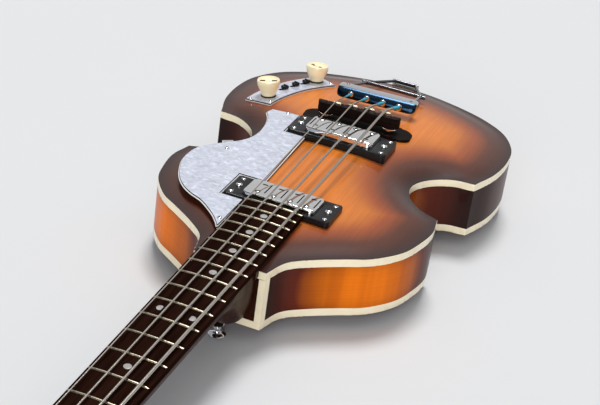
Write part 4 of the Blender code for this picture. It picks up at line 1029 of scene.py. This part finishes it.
def make_bridge():
    half_length, width = 53 * MM, 26 * MM
    bm = bmesh.new()
    bmesh.ops.create_grid(bm, x_segments=60, y_segments=6, size=1)
    for vert in bm.verts:
        end = max(0.0, abs(vert.co.x) - 0.80) / 0.20
        half = width / 2 * math.sqrt(max(1 - 0.72 * end * end, 0.03))
        vert.co = (vert.co.x * half_length, vert.co.y * half, 0)
    grown = bmesh.ops.extrude_face_region(bm, geom=bm.faces[:])["geom"]
    raised = {item for item in grown if isinstance(item, bmesh.types.BMVert)}
    for vert in bm.verts:
        spot = BRIDGE @ vert.co
        ground = Surface.height(spot.x, spot.y)
        if vert in raised:
            crown = 15.4 * MM - 2.6 * MM * (abs(vert.co.x) / half_length) ** 2
            vert.co.z = max(crown, ground + 2.4 * MM)
        else:
            vert.co.z = ground - 0.05 * MM
    soften(bm, 1.6 * MM, 3, 50)
    placed(bm, BRIDGE)
    piece("bridge_base", bm, "ebony", replaces=["bridge_base"])

    low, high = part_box("bridge_saddle_carrier")
    bottom, top = low.z - BODY.translation.z, high.z - BODY.translation.z
    outline = rounded_rectangle(40.5 * MM, 6.5 * MM, 6 * MM, 8)
    carrier = slab(outline, bottom, top)
    rear = -6.5 * MM
    bmesh.ops.bisect_plane(carrier, geom=carrier.verts[:] + carrier.edges[:] + carrier.faces[:],
                           plane_co=(0, rear, top - 3.4 * MM), plane_no=(0, -3.9, 6.4), clear_outer=True)
    open_edges = [edge for edge in carrier.edges if edge.is_boundary]
    bmesh.ops.holes_fill(carrier, edges=open_edges, sides=0)
    for seam in CARRIER_SEAMS:
        for side in (-1, 1):
            bmesh.ops.bisect_plane(carrier, geom=carrier.verts[:] + carrier.edges[:] + carrier.faces[:],
                                   plane_co=((seam + side * 0.7) * MM, 0, 0), plane_no=(1, 0, 0))
    bmesh.ops.bisect_plane(carrier, geom=carrier.verts[:] + carrier.edges[:] + carrier.faces[:],
                           plane_co=(0, 0, bottom + CARRIER_FOOT), plane_no=(0, 0, 1))
    grooves = [face for face in carrier.faces
               if face.calc_center_median().z > bottom + CARRIER_FOOT
               and any(abs(face.calc_center_median().x - seam * MM) < 0.6 * MM for seam in CARRIER_SEAMS)]
    bmesh.ops.inset_region(carrier, faces=grooves, thickness=0.02 * MM, depth=-0.9 * MM, use_even_offset=True)
    placed(carrier, BRIDGE)
    piece("bridge_saddle_carrier", carrier, "ebony", "saddle_carrier", replaces=["bridge_saddle_carrier"])
    for letter, _, _, saddle_x, saddle_y, _ in STRINGS:
        matrix = (Matrix.Translation((saddle_x * MM, saddle_y * MM, top - 0.1 * MM))
                  @ Matrix.Rotation(math.radians(5), 4, "Z"))
        saddle = rod((-5.2 * MM, 0, 0), (5.2 * MM, 0, 0), 1.15 * MM, 16)
        piece(f"saddle_{letter}", placed(soften(saddle, 0.3 * MM, 2), matrix), "fret_wire", "saddle_carrier")
    for side, name in ((-1, "bass"), (1, "treble")):
        place = joint_place(f"thumbscrew_{name}_spin")
        level = bottom - GAP
        stud = [(0, level + 6 * MM), (2 * MM, level + 6 * MM), (2 * MM, level), (6.6 * MM, level),
                (7.6 * MM, level - 0.5 * MM), (7.6 * MM, level - 2.3 * MM), (6.6 * MM, level - 2.8 * MM),
                (2 * MM, level - 2.8 * MM), (2 * MM, 12.8 * MM), (0, 12.8 * MM)]
        parts = [turned(stud, 40)]
        for tooth in range(36):
            turn = Matrix.Rotation(math.tau * tooth / 36, 4, "Z")
            parts.append(placed(box((7.62 * MM, 0, level - 1.4 * MM), (0.6 * MM, 0.7 * MM, 2.0 * MM),
                                    0.1 * MM, 1), turn))
        piece(f"bridge_thumbscrew_{name}", joined(parts), "nickel", f"thumbscrew_{name}",
              replaces=[f"bridge_thumbscrew_{name}"], place=place)


CROSSBAR_Y, CROSSBAR_Z = -96 * MM, 11.5 * MM
HINGE_Y, HINGE_Z = TAIL_Y - 1.9 * MM, 3.4 * MM


def make_tailpiece():
    top = TAIL_BAR_TOP
    centre = Matrix.Translation((0, -42.5 * MM, 0)) @ Matrix.Rotation(math.radians(3), 4, "Z")
    section = [(-9, -2.4), (-9, -0.8), (-7.8, -0.1), (-3, 0), (1.5, -0.5), (4.8, -1.9), (7, -4.2), (8.3, -7),
               (8.5, -9.4), (6.3, -9.4), (6.0, -7), (4.4, -4.6), (1, -2.9), (-4, -2.4)]
    rings = []
    for across, size in ((-40.5, 0.45), (-40.1, 0.66), (-39, 0.84), (-37, 0.95), (-34, 1), (34, 1),
                         (37, 0.95),
                         (39, 0.84), (40.1, 0.66), (40.5, 0.45)):
        rings.append([(across * MM, y * size * MM, top + (z * size - 2.2 * (1 - size)) * MM)
                      for y, z in section])
    bar = soften(loft(rings), 0.35 * MM, 2, 50)
    # Front faces take the dark blue metal, painted shade for the chrome front's dark reflection; the top keeps
    # plain chrome
    for face in bar.faces:
        face.material_index = int(face.calc_center_median().y > 1.0 * MM)
    piece("tailpiece", placed(bar, centre), ["chrome", "bar_front_painted_shade"], replaces=["tailpiece"],
          smooth=50)
    parts = []
    level = top - 1.8 * MM
    for side in (-1, 1):
        corner = Vector((side * 33 * MM, -46.5 * MM, level))
        elbow = Vector((side * 29 * MM, CROSSBAR_Y, CROSSBAR_Z))
        hinge = Vector((side * 11 * MM, HINGE_Y, HINGE_Z))
        parts += [rod(corner, elbow, 1.5 * MM, 20), rod(elbow, hinge, 1.5 * MM, 20), ball(elbow, 2.5 * MM),
                  ball(hinge, 2.2 * MM), ball(corner, 2.3 * MM)]
    parts += [rod((-34 * MM, CROSSBAR_Y, CROSSBAR_Z), (34 * MM, CROSSBAR_Y, CROSSBAR_Z), 1.9 * MM, 20),
              rod((-14 * MM, HINGE_Y, HINGE_Z), (14 * MM, HINGE_Y, HINGE_Z), 2.0 * MM, 20)]
    # The rods' dark chrome is painted shade for their dim reflection
    piece("tailpiece_rods", joined(parts), "rod_chrome", smooth=50)
    for letter, radius, _, _, _, tail_x in STRINGS:
        hole = turned([(radius * MM + 0.5 * MM, 0.6 * MM), (radius * MM + 2.0 * MM, 0.5 * MM),
                       (radius * MM + 2.2 * MM, 0), (radius * MM + 2.2 * MM, -1 * MM),
                       (radius * MM + 0.5 * MM, -1 * MM)],
                      24, Matrix.Translation((tail_x * MM, -33.6 * MM, TAIL_BAR_TOP - 4.8 * MM))
                      @ Matrix.Rotation(-math.pi / 2, 4, "X"))
        piece(f"string_hole_{letter}", hole, "chrome", smooth=50)


# ---------------------------------------------------------------- pickups

# Pitch of the pole screws, how far the row is off the centre line, and half a turn where the cover is reversed.
POLES = {"neck": (15.1 * MM, -1.5 * MM, 0.0), "bridge": (16.6 * MM, -1.2 * MM, math.pi)}


def make_pickups():
    for name, (centre_y, ring_top, cover_top) in PICKUPS.items():
        middle = Matrix.Translation((0, centre_y, 0))
        outline = rounded_rectangle(48.5 * MM, 18.5 * MM, 3.5 * MM, 6)
        window = rounded_rectangle(33.4 * MM, 14.65 * MM, 4.6 * MM, 6)
        bm = bmesh.new()
        loops = []
        for points in (outline, window):
            verts = [bm.verts.new((x, y, ring_top)) for x, y in points]
            loops += [bm.edges.new((verts[index - 1], verts[index])) for index in range(len(verts))]
        bmesh.ops.bridge_loops(bm, edges=loops)
        bmesh.ops.subdivide_edges(bm, edges=bm.edges[:], cuts=1, use_grid_fill=True)
        grown = bmesh.ops.extrude_face_region(bm, geom=bm.faces[:])["geom"]
        lowered = [item for item in grown if isinstance(item, bmesh.types.BMVert)]
        for vert in lowered:
            vert.co.z = Surface.height(vert.co.x, vert.co.y + centre_y) - 0.3 * MM
        soften(bm, 0.6 * MM, 2, 60)
        piece(f"{name}_pickup_ring", placed(bm, middle), "black_plastic", replaces=[f"{name}_pickup_ring"],
              smooth=50)
        corners = [middle @ Matrix.Translation((sx * 43.2 * MM, sy * 13.4 * MM, ring_top)) for sx in (-1, 1)
                   for sy in (-1, 1)]
        make_screws(f"{name}_ring_screw", corners, 2.1 * MM, 1.0 * MM)

        body = f"{name}_pickup"
        cover = slab(rounded_rectangle(33 * MM, 14.25 * MM, 4.5 * MM, 8), cover_top - 17 * MM, cover_top,
                     1.3 * MM, 3)
        piece(f"{name}_pickup_cover", placed(cover, middle), "nickel", body,
              replaces=[f"{name}_pickup_cover"],
              smooth=60)
        poles, slots, dark = [], [], []
        pitch, offset, reverse = POLES[name]
        for index in range(4):
            x = (index - 1.5) * pitch + offset
            spot = (middle @ Matrix.Translation((x, 8.2 * MM * math.cos(reverse), cover_top))
                    @ Matrix.Rotation(reverse, 4, "Z"))
            poles.append(placed(turned([(0, 0.5 * MM), (1.5 * MM, 0.45 * MM), (2.0 * MM, 0.1 * MM),
                                        (2.0 * MM, -1 * MM), (0, -1 * MM)], 20), spot))
            # Dark slot across each pole screw and a dark ring round it: painted shade in the slot and in the
            # gap round the pole
            dark.append(placed(box((0, 0, 0.42 * MM), (3.6 * MM, 0.9 * MM, 0.3 * MM)),
                               spot @ Matrix.Rotation(0.5 + index, 4, "Z")))
            dark.append(placed(turned([(1.9 * MM, 0.08 * MM), (2.5 * MM, 0.08 * MM), (2.5 * MM, -0.5 * MM),
                                       (1.9 * MM, -0.5 * MM)], 24), spot))
            # Flat dark marks on the cover: painted shade for its slots
            slots.append(placed(box((-1.0 * MM, -15.0 * MM, 0), (4.6 * MM, 1.7 * MM, 0.12 * MM)), spot))
            slots.append(placed(box((-6.4 * MM, -8.6 * MM, 0), (1.1 * MM, 17.0 * MM, 0.12 * MM)), spot))
        piece(f"{name}_pole_screws", joined(poles), "nickel", body)
        piece(f"{name}_pole_slots", joined(dark), "slot_dark", body)
        piece(f"{name}_cover_slots", joined(slots), "slot_dark", body)
        for side in ("bass", "treble"):
            place = joint_place(f"{name}_screw_{side}_spin")
            shank = [(0, 1.9 * MM), (1.6 * MM, 1.75 * MM), (2.6 * MM, 1.2 * MM), (3.0 * MM, 0.4 * MM),
                     (3.0 * MM, 0), (1.5 * MM, 0), (1.5 * MM, -20 * MM), (0, -20 * MM)]
            lift = Matrix.Translation((0, 0, ring_top + GAP))
            piece(f"{name}_pickup_screw_{side}", placed(turned(shank, 24), lift), "nickel",
                  f"{name}_screw_{side}", replaces=[f"{name}_pickup_screw_{side}"],
                  place=place)
            # Dark cross on the screw head: painted shade in its recess
            cross = [box((0, 0, 1.75 * MM), (3.2 * MM, 0.6 * MM, 0.5 * MM)),
                     box((0, 0, 1.75 * MM), (0.6 * MM, 3.2 * MM, 0.5 * MM))]
            piece(f"{name}_screw_cross_{side}", placed(joined(cross), lift), "slot_dark",
                  f"{name}_screw_{side}",
                  place=place)


# ---------------------------------------------------------------- pickguard and controls

def guard_level(y):
    return 15.6 * MM - 0.038 * (y - 60 * MM)


def make_pickguard():
    """Layered plate with bevelled rims: black, white, thin black, then the pearl face."""
    layer = settings("hardware").plate_layer
    outline = smooth_curve(GUARD_NECK_CURVE, 120)
    outline += [Vector(point) * MM for point in GUARD_STRING_EDGE]
    rings = []
    for distance, level in ((0, -3 * layer), (0, -2 * layer), (0.7 * MM, -layer), (1.1 * MM, 0)):
        path = inset(outline[-1:] + outline + outline[:1], distance)[1:-1] if distance else outline
        rings.append([(point.x, point.y, guard_level(point.y) + level) for point in path])
    bm = loft(rings)
    for face in bm.faces:
        depth = sum(guard_level(vert.co.y) - vert.co.z for vert in face.verts) / len(face.verts) / layer
        face.material_index = 0 if depth < 0.1 else 1 if 1 < depth < 2 else 2
    piece("pickguard", bm, ["pearl_sheet", "white_layer", "black_layer"], replaces=["pickguard"],
          smooth=4)
    spots = [Matrix.Translation((x * MM, y * MM, guard_level(y * MM))) for x, y in GUARD_SCREWS]
    make_screws("pickguard_screw", spots, 2.2 * MM, 0.9 * MM)


def top_frame(x, y, lift=0.0):
    """Place square on the arched top."""
    step = 3 * MM
    slope_x = (Surface.height(x + step, y) - Surface.height(x - step, y)) / (2 * step)
    slope_y = (Surface.height(x, y + step) - Surface.height(x, y - step)) / (2 * step)
    normal = Vector((-slope_x, -slope_y, 1)).normalized()
    turn = normal.to_track_quat("Z", "Y").to_matrix().to_4x4()
    return Matrix.Translation(Vector((x, y, Surface.height(x, y))) + normal * lift) @ turn


def band_sheet(half, trim, low, high):
    """Solid strip along the control plate's spine that follows the top."""
    spine = smooth_curve(PANEL_SPINE, 60)
    first = (spine[1] - spine[0]).normalized()
    last = (spine[-1] - spine[-2]).normalized()
    spine[0] += first * trim
    spine[-1] -= last * trim
    bm = bmesh.new()
    bmesh.ops.create_grid(bm, x_segments=12, y_segments=len(spine) - 1, size=1)
    for vert in bm.verts:
        row = round((vert.co.y + 1) / 2 * (len(spine) - 1))
        before, after = spine[max(row - 1, 0)], spine[min(row + 1, len(spine) - 1)]
        direction = (after - before).normalized()
        normal = Vector((-direction.y, direction.x))
        spot = spine[row] + normal * half * vert.co.x
        vert.co = (spot.x, spot.y, 0)
    grown = bmesh.ops.extrude_face_region(bm, geom=bm.faces[:])["geom"]
    raised = {item for item in grown if isinstance(item, bmesh.types.BMVert)}
    for vert in bm.verts:
        vert.co.z = Surface.height(vert.co.x, vert.co.y) + (high if vert in raised else low)
    return bm


KNOB_TURN = math.radians(112)


def make_controls():
    layer = settings("hardware").plate_layer
    floor = 0.1 * MM
    for count, (name, finish) in enumerate((("control_plate_backing", "white_layer"),
                                            ("control_plate_core", "black_layer"),
                                            ("control_plate", "pearl_sheet"))):
        bm = band_sheet((14.5 - 0.4 * count) * MM, 0.4 * count * MM, floor + layer * count,
                        floor + layer * (count + 1))
        piece(name, bm, finish, replaces=["control_plate"] if count == 2 else ())
    face = floor + 3 * layer
    make_screws("control_plate_screw", [top_frame(x * MM, y * MM, face) for x, y in PANEL_SCREWS], 1.9 * MM,
                0.8 * MM)
    for side in ("bass", "treble"):
        place = joint_place(f"volume_{side}_turn")
        foot = 3.6 * MM
        cup = [(0, foot + 14.6 * MM), (8.4 * MM, foot + 14.6 * MM), (9.0 * MM, foot + 14.8 * MM),
               (9.5 * MM, foot + 15.8 * MM), (10.0 * MM, foot + 16.2 * MM), (10.8 * MM, foot + 15.9 * MM),
               (11.2 * MM, foot + 15.0 * MM), (11.2 * MM, foot + 12.6 * MM), (10.9 * MM, foot + 10.8 * MM),
               (10.0 * MM, foot + 8.0 * MM), (8.8 * MM, foot + 5.4 * MM), (7.7 * MM, foot + 3.2 * MM),
               (7.2 * MM, foot + 1.4 * MM), (7.0 * MM, foot + 0.3 * MM), (6.6 * MM, foot), (0, foot)]
        parts = [turned(cup, 48)]
        turn = Matrix.Rotation(KNOB_TURN, 4, "Z")
        parts.append(placed(box((0, 0, foot + 14.9 * MM), (5.4 * MM, 4.4 * MM, 2.2 * MM), 0.7 * MM, 3), turn))
        # Two flat dark plates on the knob's dish, one each side of the raised bar: painted shade for the bar's
        # shadow
        grooves = [placed(box((side_x * 5.9 * MM, 0, foot + 14.55 * MM), (5.2 * MM, 3.0 * MM, 0.4 * MM)),
                          turn)
                   for side_x in (-1, 1)]
        piece(f"volume_groove_shade_{side}", joined(grooves), "groove_brown", f"volume_{side}",
              place=place)
        piece(f"volume_knob_{side}", joined(parts), "knob_cream", f"volume_{side}",
              replaces=[f"volume_knob_{side}"], place=place, smooth=45)
        shaft = turned([(0, foot + 1 * MM), (3 * MM, foot + 1 * MM), (3 * MM, -9.6 * MM), (0, -9.6 * MM)], 24)
        piece(f"volume_shaft_{side}", shaft, "steel", f"volume_{side}", place=place)
        collar = turned([(3.2 * MM, 3.3 * MM), (7.4 * MM, 3.2 * MM), (7.8 * MM, 2.6 * MM),
                         (7.8 * MM, 2.3 * MM),
                         (3.2 * MM, 2.3 * MM)], 32)
        piece(f"volume_washer_{side}", collar, "black_plastic", place=place)
    for switch in ("rhythm", "bass", "treble"):
        low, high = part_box(f"switch_lever_{switch}")
        joint = next(joint for joint in frame["joints"] if joint["name"] == f"switch_{switch}_slide")
        along = Vector(joint["axis"])
        middle = BODY.inverted() @ ((low + high) / 2)
        place = top_frame(middle.x, middle.y, face)
        local = place.to_3x3().inverted() @ along
        turn = Matrix.Rotation(math.atan2(local.y, local.x), 4, "Z")
        lever = slab(rounded_rectangle(3.5 * MM, 2.8 * MM, 1.3 * MM, 5), 0.35 * MM, 3.6 * MM, 0.9 * MM, 3)
        ridge = box((0, 0, 4.0 * MM), (1.2 * MM, 4.4 * MM, 1.4 * MM), 0.4 * MM, 2)
        foot = box((0, 0, -2.4 * MM), (3.4 * MM, 2.2 * MM, 6 * MM))
        piece(f"switch_lever_{switch}", placed(joined([lever, ridge, foot]), place @ turn), "black_plastic",
              f"switch_{switch}", replaces=[f"switch_lever_{switch}"])
        # Dark slab under the lever: painted shade in the plate's slot
        slot = slab(rounded_rectangle(4.6 * MM, 1.7 * MM, 0.5 * MM, 3), -0.1 * MM, 0.06 * MM)
        piece(f"switch_slot_{switch}", placed(slot, place @ turn @ Matrix.Translation((2.3 * MM, 0, 0))),
              "slot_dark")


# ---------------------------------------------------------------- fittings

# Pieces shown as the frame has them, by finish.
CARRIED_PIECES = {
    "bare_spruce": ("neck_block", "tail_block", "brace_treble", "brace_bass"),
    "steel": ("truss_rod", "truss_rod_nut", "volume_pot_bass", "volume_pot_treble"),
    "nickel": ("pickguard_bracket", "tuner_plate_e", "tuner_plate_a", "tuner_plate_d", "tuner_plate_g"),
    "chrome": ("tailpiece_hinge_bracket",),
}


def make_fittings():
    for name, finish in ((name, finish) for finish, names in CARRIED_PIECES.items() for name in names):
        node = frame["nodes"][name]
        node.data.materials.clear()
        node.data.materials.append(finish_named(finish))
    low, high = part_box("output_jack")
    face = low.x + 22 * MM
    middle = (low + high) / 2
    place = Matrix.Translation((face, middle.y, middle.z)) @ Matrix.Rotation(math.pi / 2, 4, "Y")
    profile = [(3.3 * MM, 2.9 * MM), (3.5 * MM, 3 * MM), (4.8 * MM, 3 * MM), (5 * MM, 2.8 * MM),
               (5.4 * MM, 1.9 * MM),
               (5.8 * MM, 1.6 * MM), (10.4 * MM, 1.6 * MM), (11 * MM, 1.0 * MM), (11 * MM, 0), (6 * MM, 0),
               (6 * MM, -22 * MM), (3.3 * MM, -22 * MM)]
    piece("output_jack", turned(profile, 48), "chrome", replaces=["output_jack"], place=place)
    button = [(0, 0), (4.6 * MM, 0), (5.2 * MM, 0.6 * MM), (4.6 * MM, 1.6 * MM), (3.6 * MM, 3 * MM),
              (3.3 * MM, 5 * MM),
              (3.5 * MM, 6.6 * MM), (4.8 * MM, 8.0 * MM), (6.6 * MM, 8.8 * MM), (7.4 * MM, 9.6 * MM),
              (7.4 * MM, 10.3 * MM),
              (6.8 * MM, 11 * MM), (3 * MM, 11.5 * MM), (0, 11.5 * MM)]
    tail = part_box("strap_button_tail")
    centre = (tail[0] + tail[1]) / 2
    place = Matrix.Translation((centre.x, tail[1].y, centre.z)) @ Matrix.Rotation(math.pi / 2, 4, "X")
    piece("strap_button_tail", turned(button, 36), "chrome", replaces=["strap_button_tail"],
          place=place)
    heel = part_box("strap_button_heel")
    centre = (heel[0] + heel[1]) / 2
    place = Matrix.Translation((centre.x, centre.y, heel[1].z)) @ Matrix.Rotation(math.pi, 4, "X")
    piece("strap_button_heel", turned(button, 36), "chrome", replaces=["strap_button_heel"],
          place=place)


# ---------------------------------------------------------------- stage

# Where each light comes from, and how many degrees wide it looks.
KEY_LIGHT = ((0.14, -0.42, 1.0), 18)
FRONT_FILL = ((-0.2, 0.95, 0.36), 40)
FLOOR_HALF_WIDTH = 4


def make_stage():
    stage = settings("stage")
    bm = bmesh.new()
    bmesh.ops.create_grid(bm, x_segments=8, y_segments=8, size=FLOOR_HALF_WIDTH)
    mesh = bpy.data.meshes.new("floor")
    bm.to_mesh(mesh)
    bm.free()
    mesh.materials.append(finish_named("floor"))
    floor = bpy.data.objects.new("floor", mesh)
    bpy.context.scene.collection.objects.link(floor)

    world = bpy.data.worlds.new("studio")
    world.use_nodes = True
    nodes, links = world.node_tree.nodes, world.node_tree.links
    direction = nodes.new("ShaderNodeTexCoord")
    split = nodes.new("ShaderNodeSeparateXYZ")
    links.new(direction.outputs["Generated"], split.inputs["Vector"])
    depth = calculate(nodes, links, "MULTIPLY_ADD", split.outputs["Y"], 0.5)
    depth.node.inputs[2].default_value = 0.5
    walls = ramp(nodes, links, depth, [(0.0, (1.0, 1.0, 1.0)), (0.30, (0.80, 0.82, 0.85)),
                                       (0.5, (0.42, 0.44, 0.48)),
                                       (0.72, (0.08, 0.10, 0.14)), (1.0, (0.03, 0.04, 0.06))])
    ceiling = ramp(nodes, links, split.outputs["Z"], [(0.0, (0.0, 0.0, 0.0)), (0.60, (0.0, 0.0, 0.0)),
                                                      (0.85, (1.0, 1.0, 1.0))])
    background = nodes["Background"]
    links.new(blend_colour(nodes, links, ceiling, walls, (1.0, 1.0, 1.0)), background.inputs["Color"])
    background.inputs["Strength"].default_value = stage.sky_strength
    bpy.context.scene.world = world
    bpy.context.scene.view_settings.view_transform = "Standard"

    for name, (place, spread), strength in (("key_light", KEY_LIGHT, stage.key_strength),
                                            ("front_fill", FRONT_FILL, stage.fill_strength)):
        lamp = bpy.data.lights.new(name, "SUN")
        lamp.angle = math.radians(spread)
        lamp.energy = strength
        light = bpy.data.objects.new(name, lamp)
        light.location = place
        light.rotation_euler = Vector(place).to_track_quat("Z", "Y").to_euler()
        bpy.context.scene.collection.objects.link(light)

    camera_data = bpy.data.cameras.new("camera")
    camera_data.lens = stage.lens
    camera_data.sensor_width = 36
    camera_data.clip_start = 0.02
    camera = bpy.data.objects.new("camera", camera_data)
    camera.location = stage.camera_place
    camera.rotation_euler = stage.camera_turn
    bpy.context.scene.collection.objects.link(camera)
    bpy.context.scene.camera = camera


# ---------------------------------------------------------------- operators and panel

class BASS_OT_materials(bpy.types.Operator):
    """Make every finish that the pieces use"""
    bl_idname = "bass.materials"
    bl_label = "Materials"

    def execute(self, context):
        make_materials()
        return {"FINISHED"}


class BASS_OT_body(bpy.types.Operator):
    """Build the arched plates, the ribs and the binding"""
    bl_idname = "bass.body"
    bl_label = "Body"

    def execute(self, context):
        make_plates()
        make_ribs()
        make_bindings()
        make_corner_strips()
        return {"FINISHED"}


class BASS_OT_neck(bpy.types.Operator):
    """Build the neck, the fretboard, the frets and the dots"""
    bl_idname = "bass.neck"
    bl_label = "Neck"

    def execute(self, context):
        make_fretboard()
        make_neck()
        return {"FINISHED"}


class BASS_OT_tuners(bpy.types.Operator):
    """Build the tuner posts and keys"""
    bl_idname = "bass.tuners"
    bl_label = "Tuners"

    def execute(self, context):
        make_tuners()
        return {"FINISHED"}


class BASS_OT_strings(bpy.types.Operator):
    """String the instrument"""
    bl_idname = "bass.strings"
    bl_label = "Strings"

    def execute(self, context):
        make_strings()
        return {"FINISHED"}


class BASS_OT_bridge(bpy.types.Operator):
    """Build the floating bridge and the trapeze tailpiece"""
    bl_idname = "bass.bridge"
    bl_label = "Bridge and tailpiece"

    def execute(self, context):
        make_bridge()
        make_tailpiece()
        return {"FINISHED"}


class BASS_OT_pickups(bpy.types.Operator):
    """Build both pickups with their rings and screws"""
    bl_idname = "bass.pickups"
    bl_label = "Pickups"

    def execute(self, context):
        make_pickups()
        return {"FINISHED"}


class BASS_OT_controls(bpy.types.Operator):
    """Build the pickguard, the control plate, the knobs and the switches"""
    bl_idname = "bass.controls"
    bl_label = "Pickguard and controls"

    def execute(self, context):
        make_pickguard()
        make_controls()
        return {"FINISHED"}


class BASS_OT_fittings(bpy.types.Operator):
    """Finish the output socket, the strap buttons and the hidden pieces"""
    bl_idname = "bass.fittings"
    bl_label = "Fittings"

    def execute(self, context):
        make_fittings()
        return {"FINISHED"}


class BASS_OT_stage(bpy.types.Operator):
    """Set the floor, the lights and the camera"""
    bl_idname = "bass.stage"
    bl_label = "Stage"

    def execute(self, context):
        make_stage()
        return {"FINISHED"}


STEPS = (BASS_OT_materials, BASS_OT_body, BASS_OT_neck, BASS_OT_tuners, BASS_OT_strings, BASS_OT_bridge,
         BASS_OT_pickups, BASS_OT_controls, BASS_OT_fittings, BASS_OT_stage)
SETTINGS = {"bass_body": BodySettings, "bass_neck": NeckSettings, "bass_hardware": HardwareSettings,
            "bass_stage": StageSettings}


class BASS_PT_builder(bpy.types.Panel):
    """Settings and build steps of the bass guitar"""
    bl_idname = "BASS_PT_builder"
    bl_label = "Bass Guitar"
    bl_space_type = "VIEW_3D"
    bl_region_type = "UI"
    bl_category = "Bass Guitar"

    def draw(self, context):
        for name in SETTINGS:
            group = getattr(context.scene, name)
            column = self.layout.column()
            for key in group.__annotations__:
                column.prop(group, key)
        for step in STEPS:
            self.layout.operator(step.bl_idname)


def register():
    for item in (*SETTINGS.values(), *STEPS, BASS_PT_builder):
        bpy.utils.register_class(item)
    for name, group in SETTINGS.items():
        setattr(bpy.types.Scene, name, bpy.props.PointerProperty(type=group))


def unregister():
    for name in SETTINGS:
        delattr(bpy.types.Scene, name)
    for item in (BASS_PT_builder, *reversed(STEPS), *SETTINGS.values()):
        bpy.utils.unregister_class(item)


def corners(bounds):
    return [[float(value) for value in corner] for corner in bounds]


def main():
    register()
    for step in STEPS:
        group, action = step.bl_idname.split(".")
        getattr(getattr(bpy.ops, group), action)()


if __name__ == "__main__":
    main()
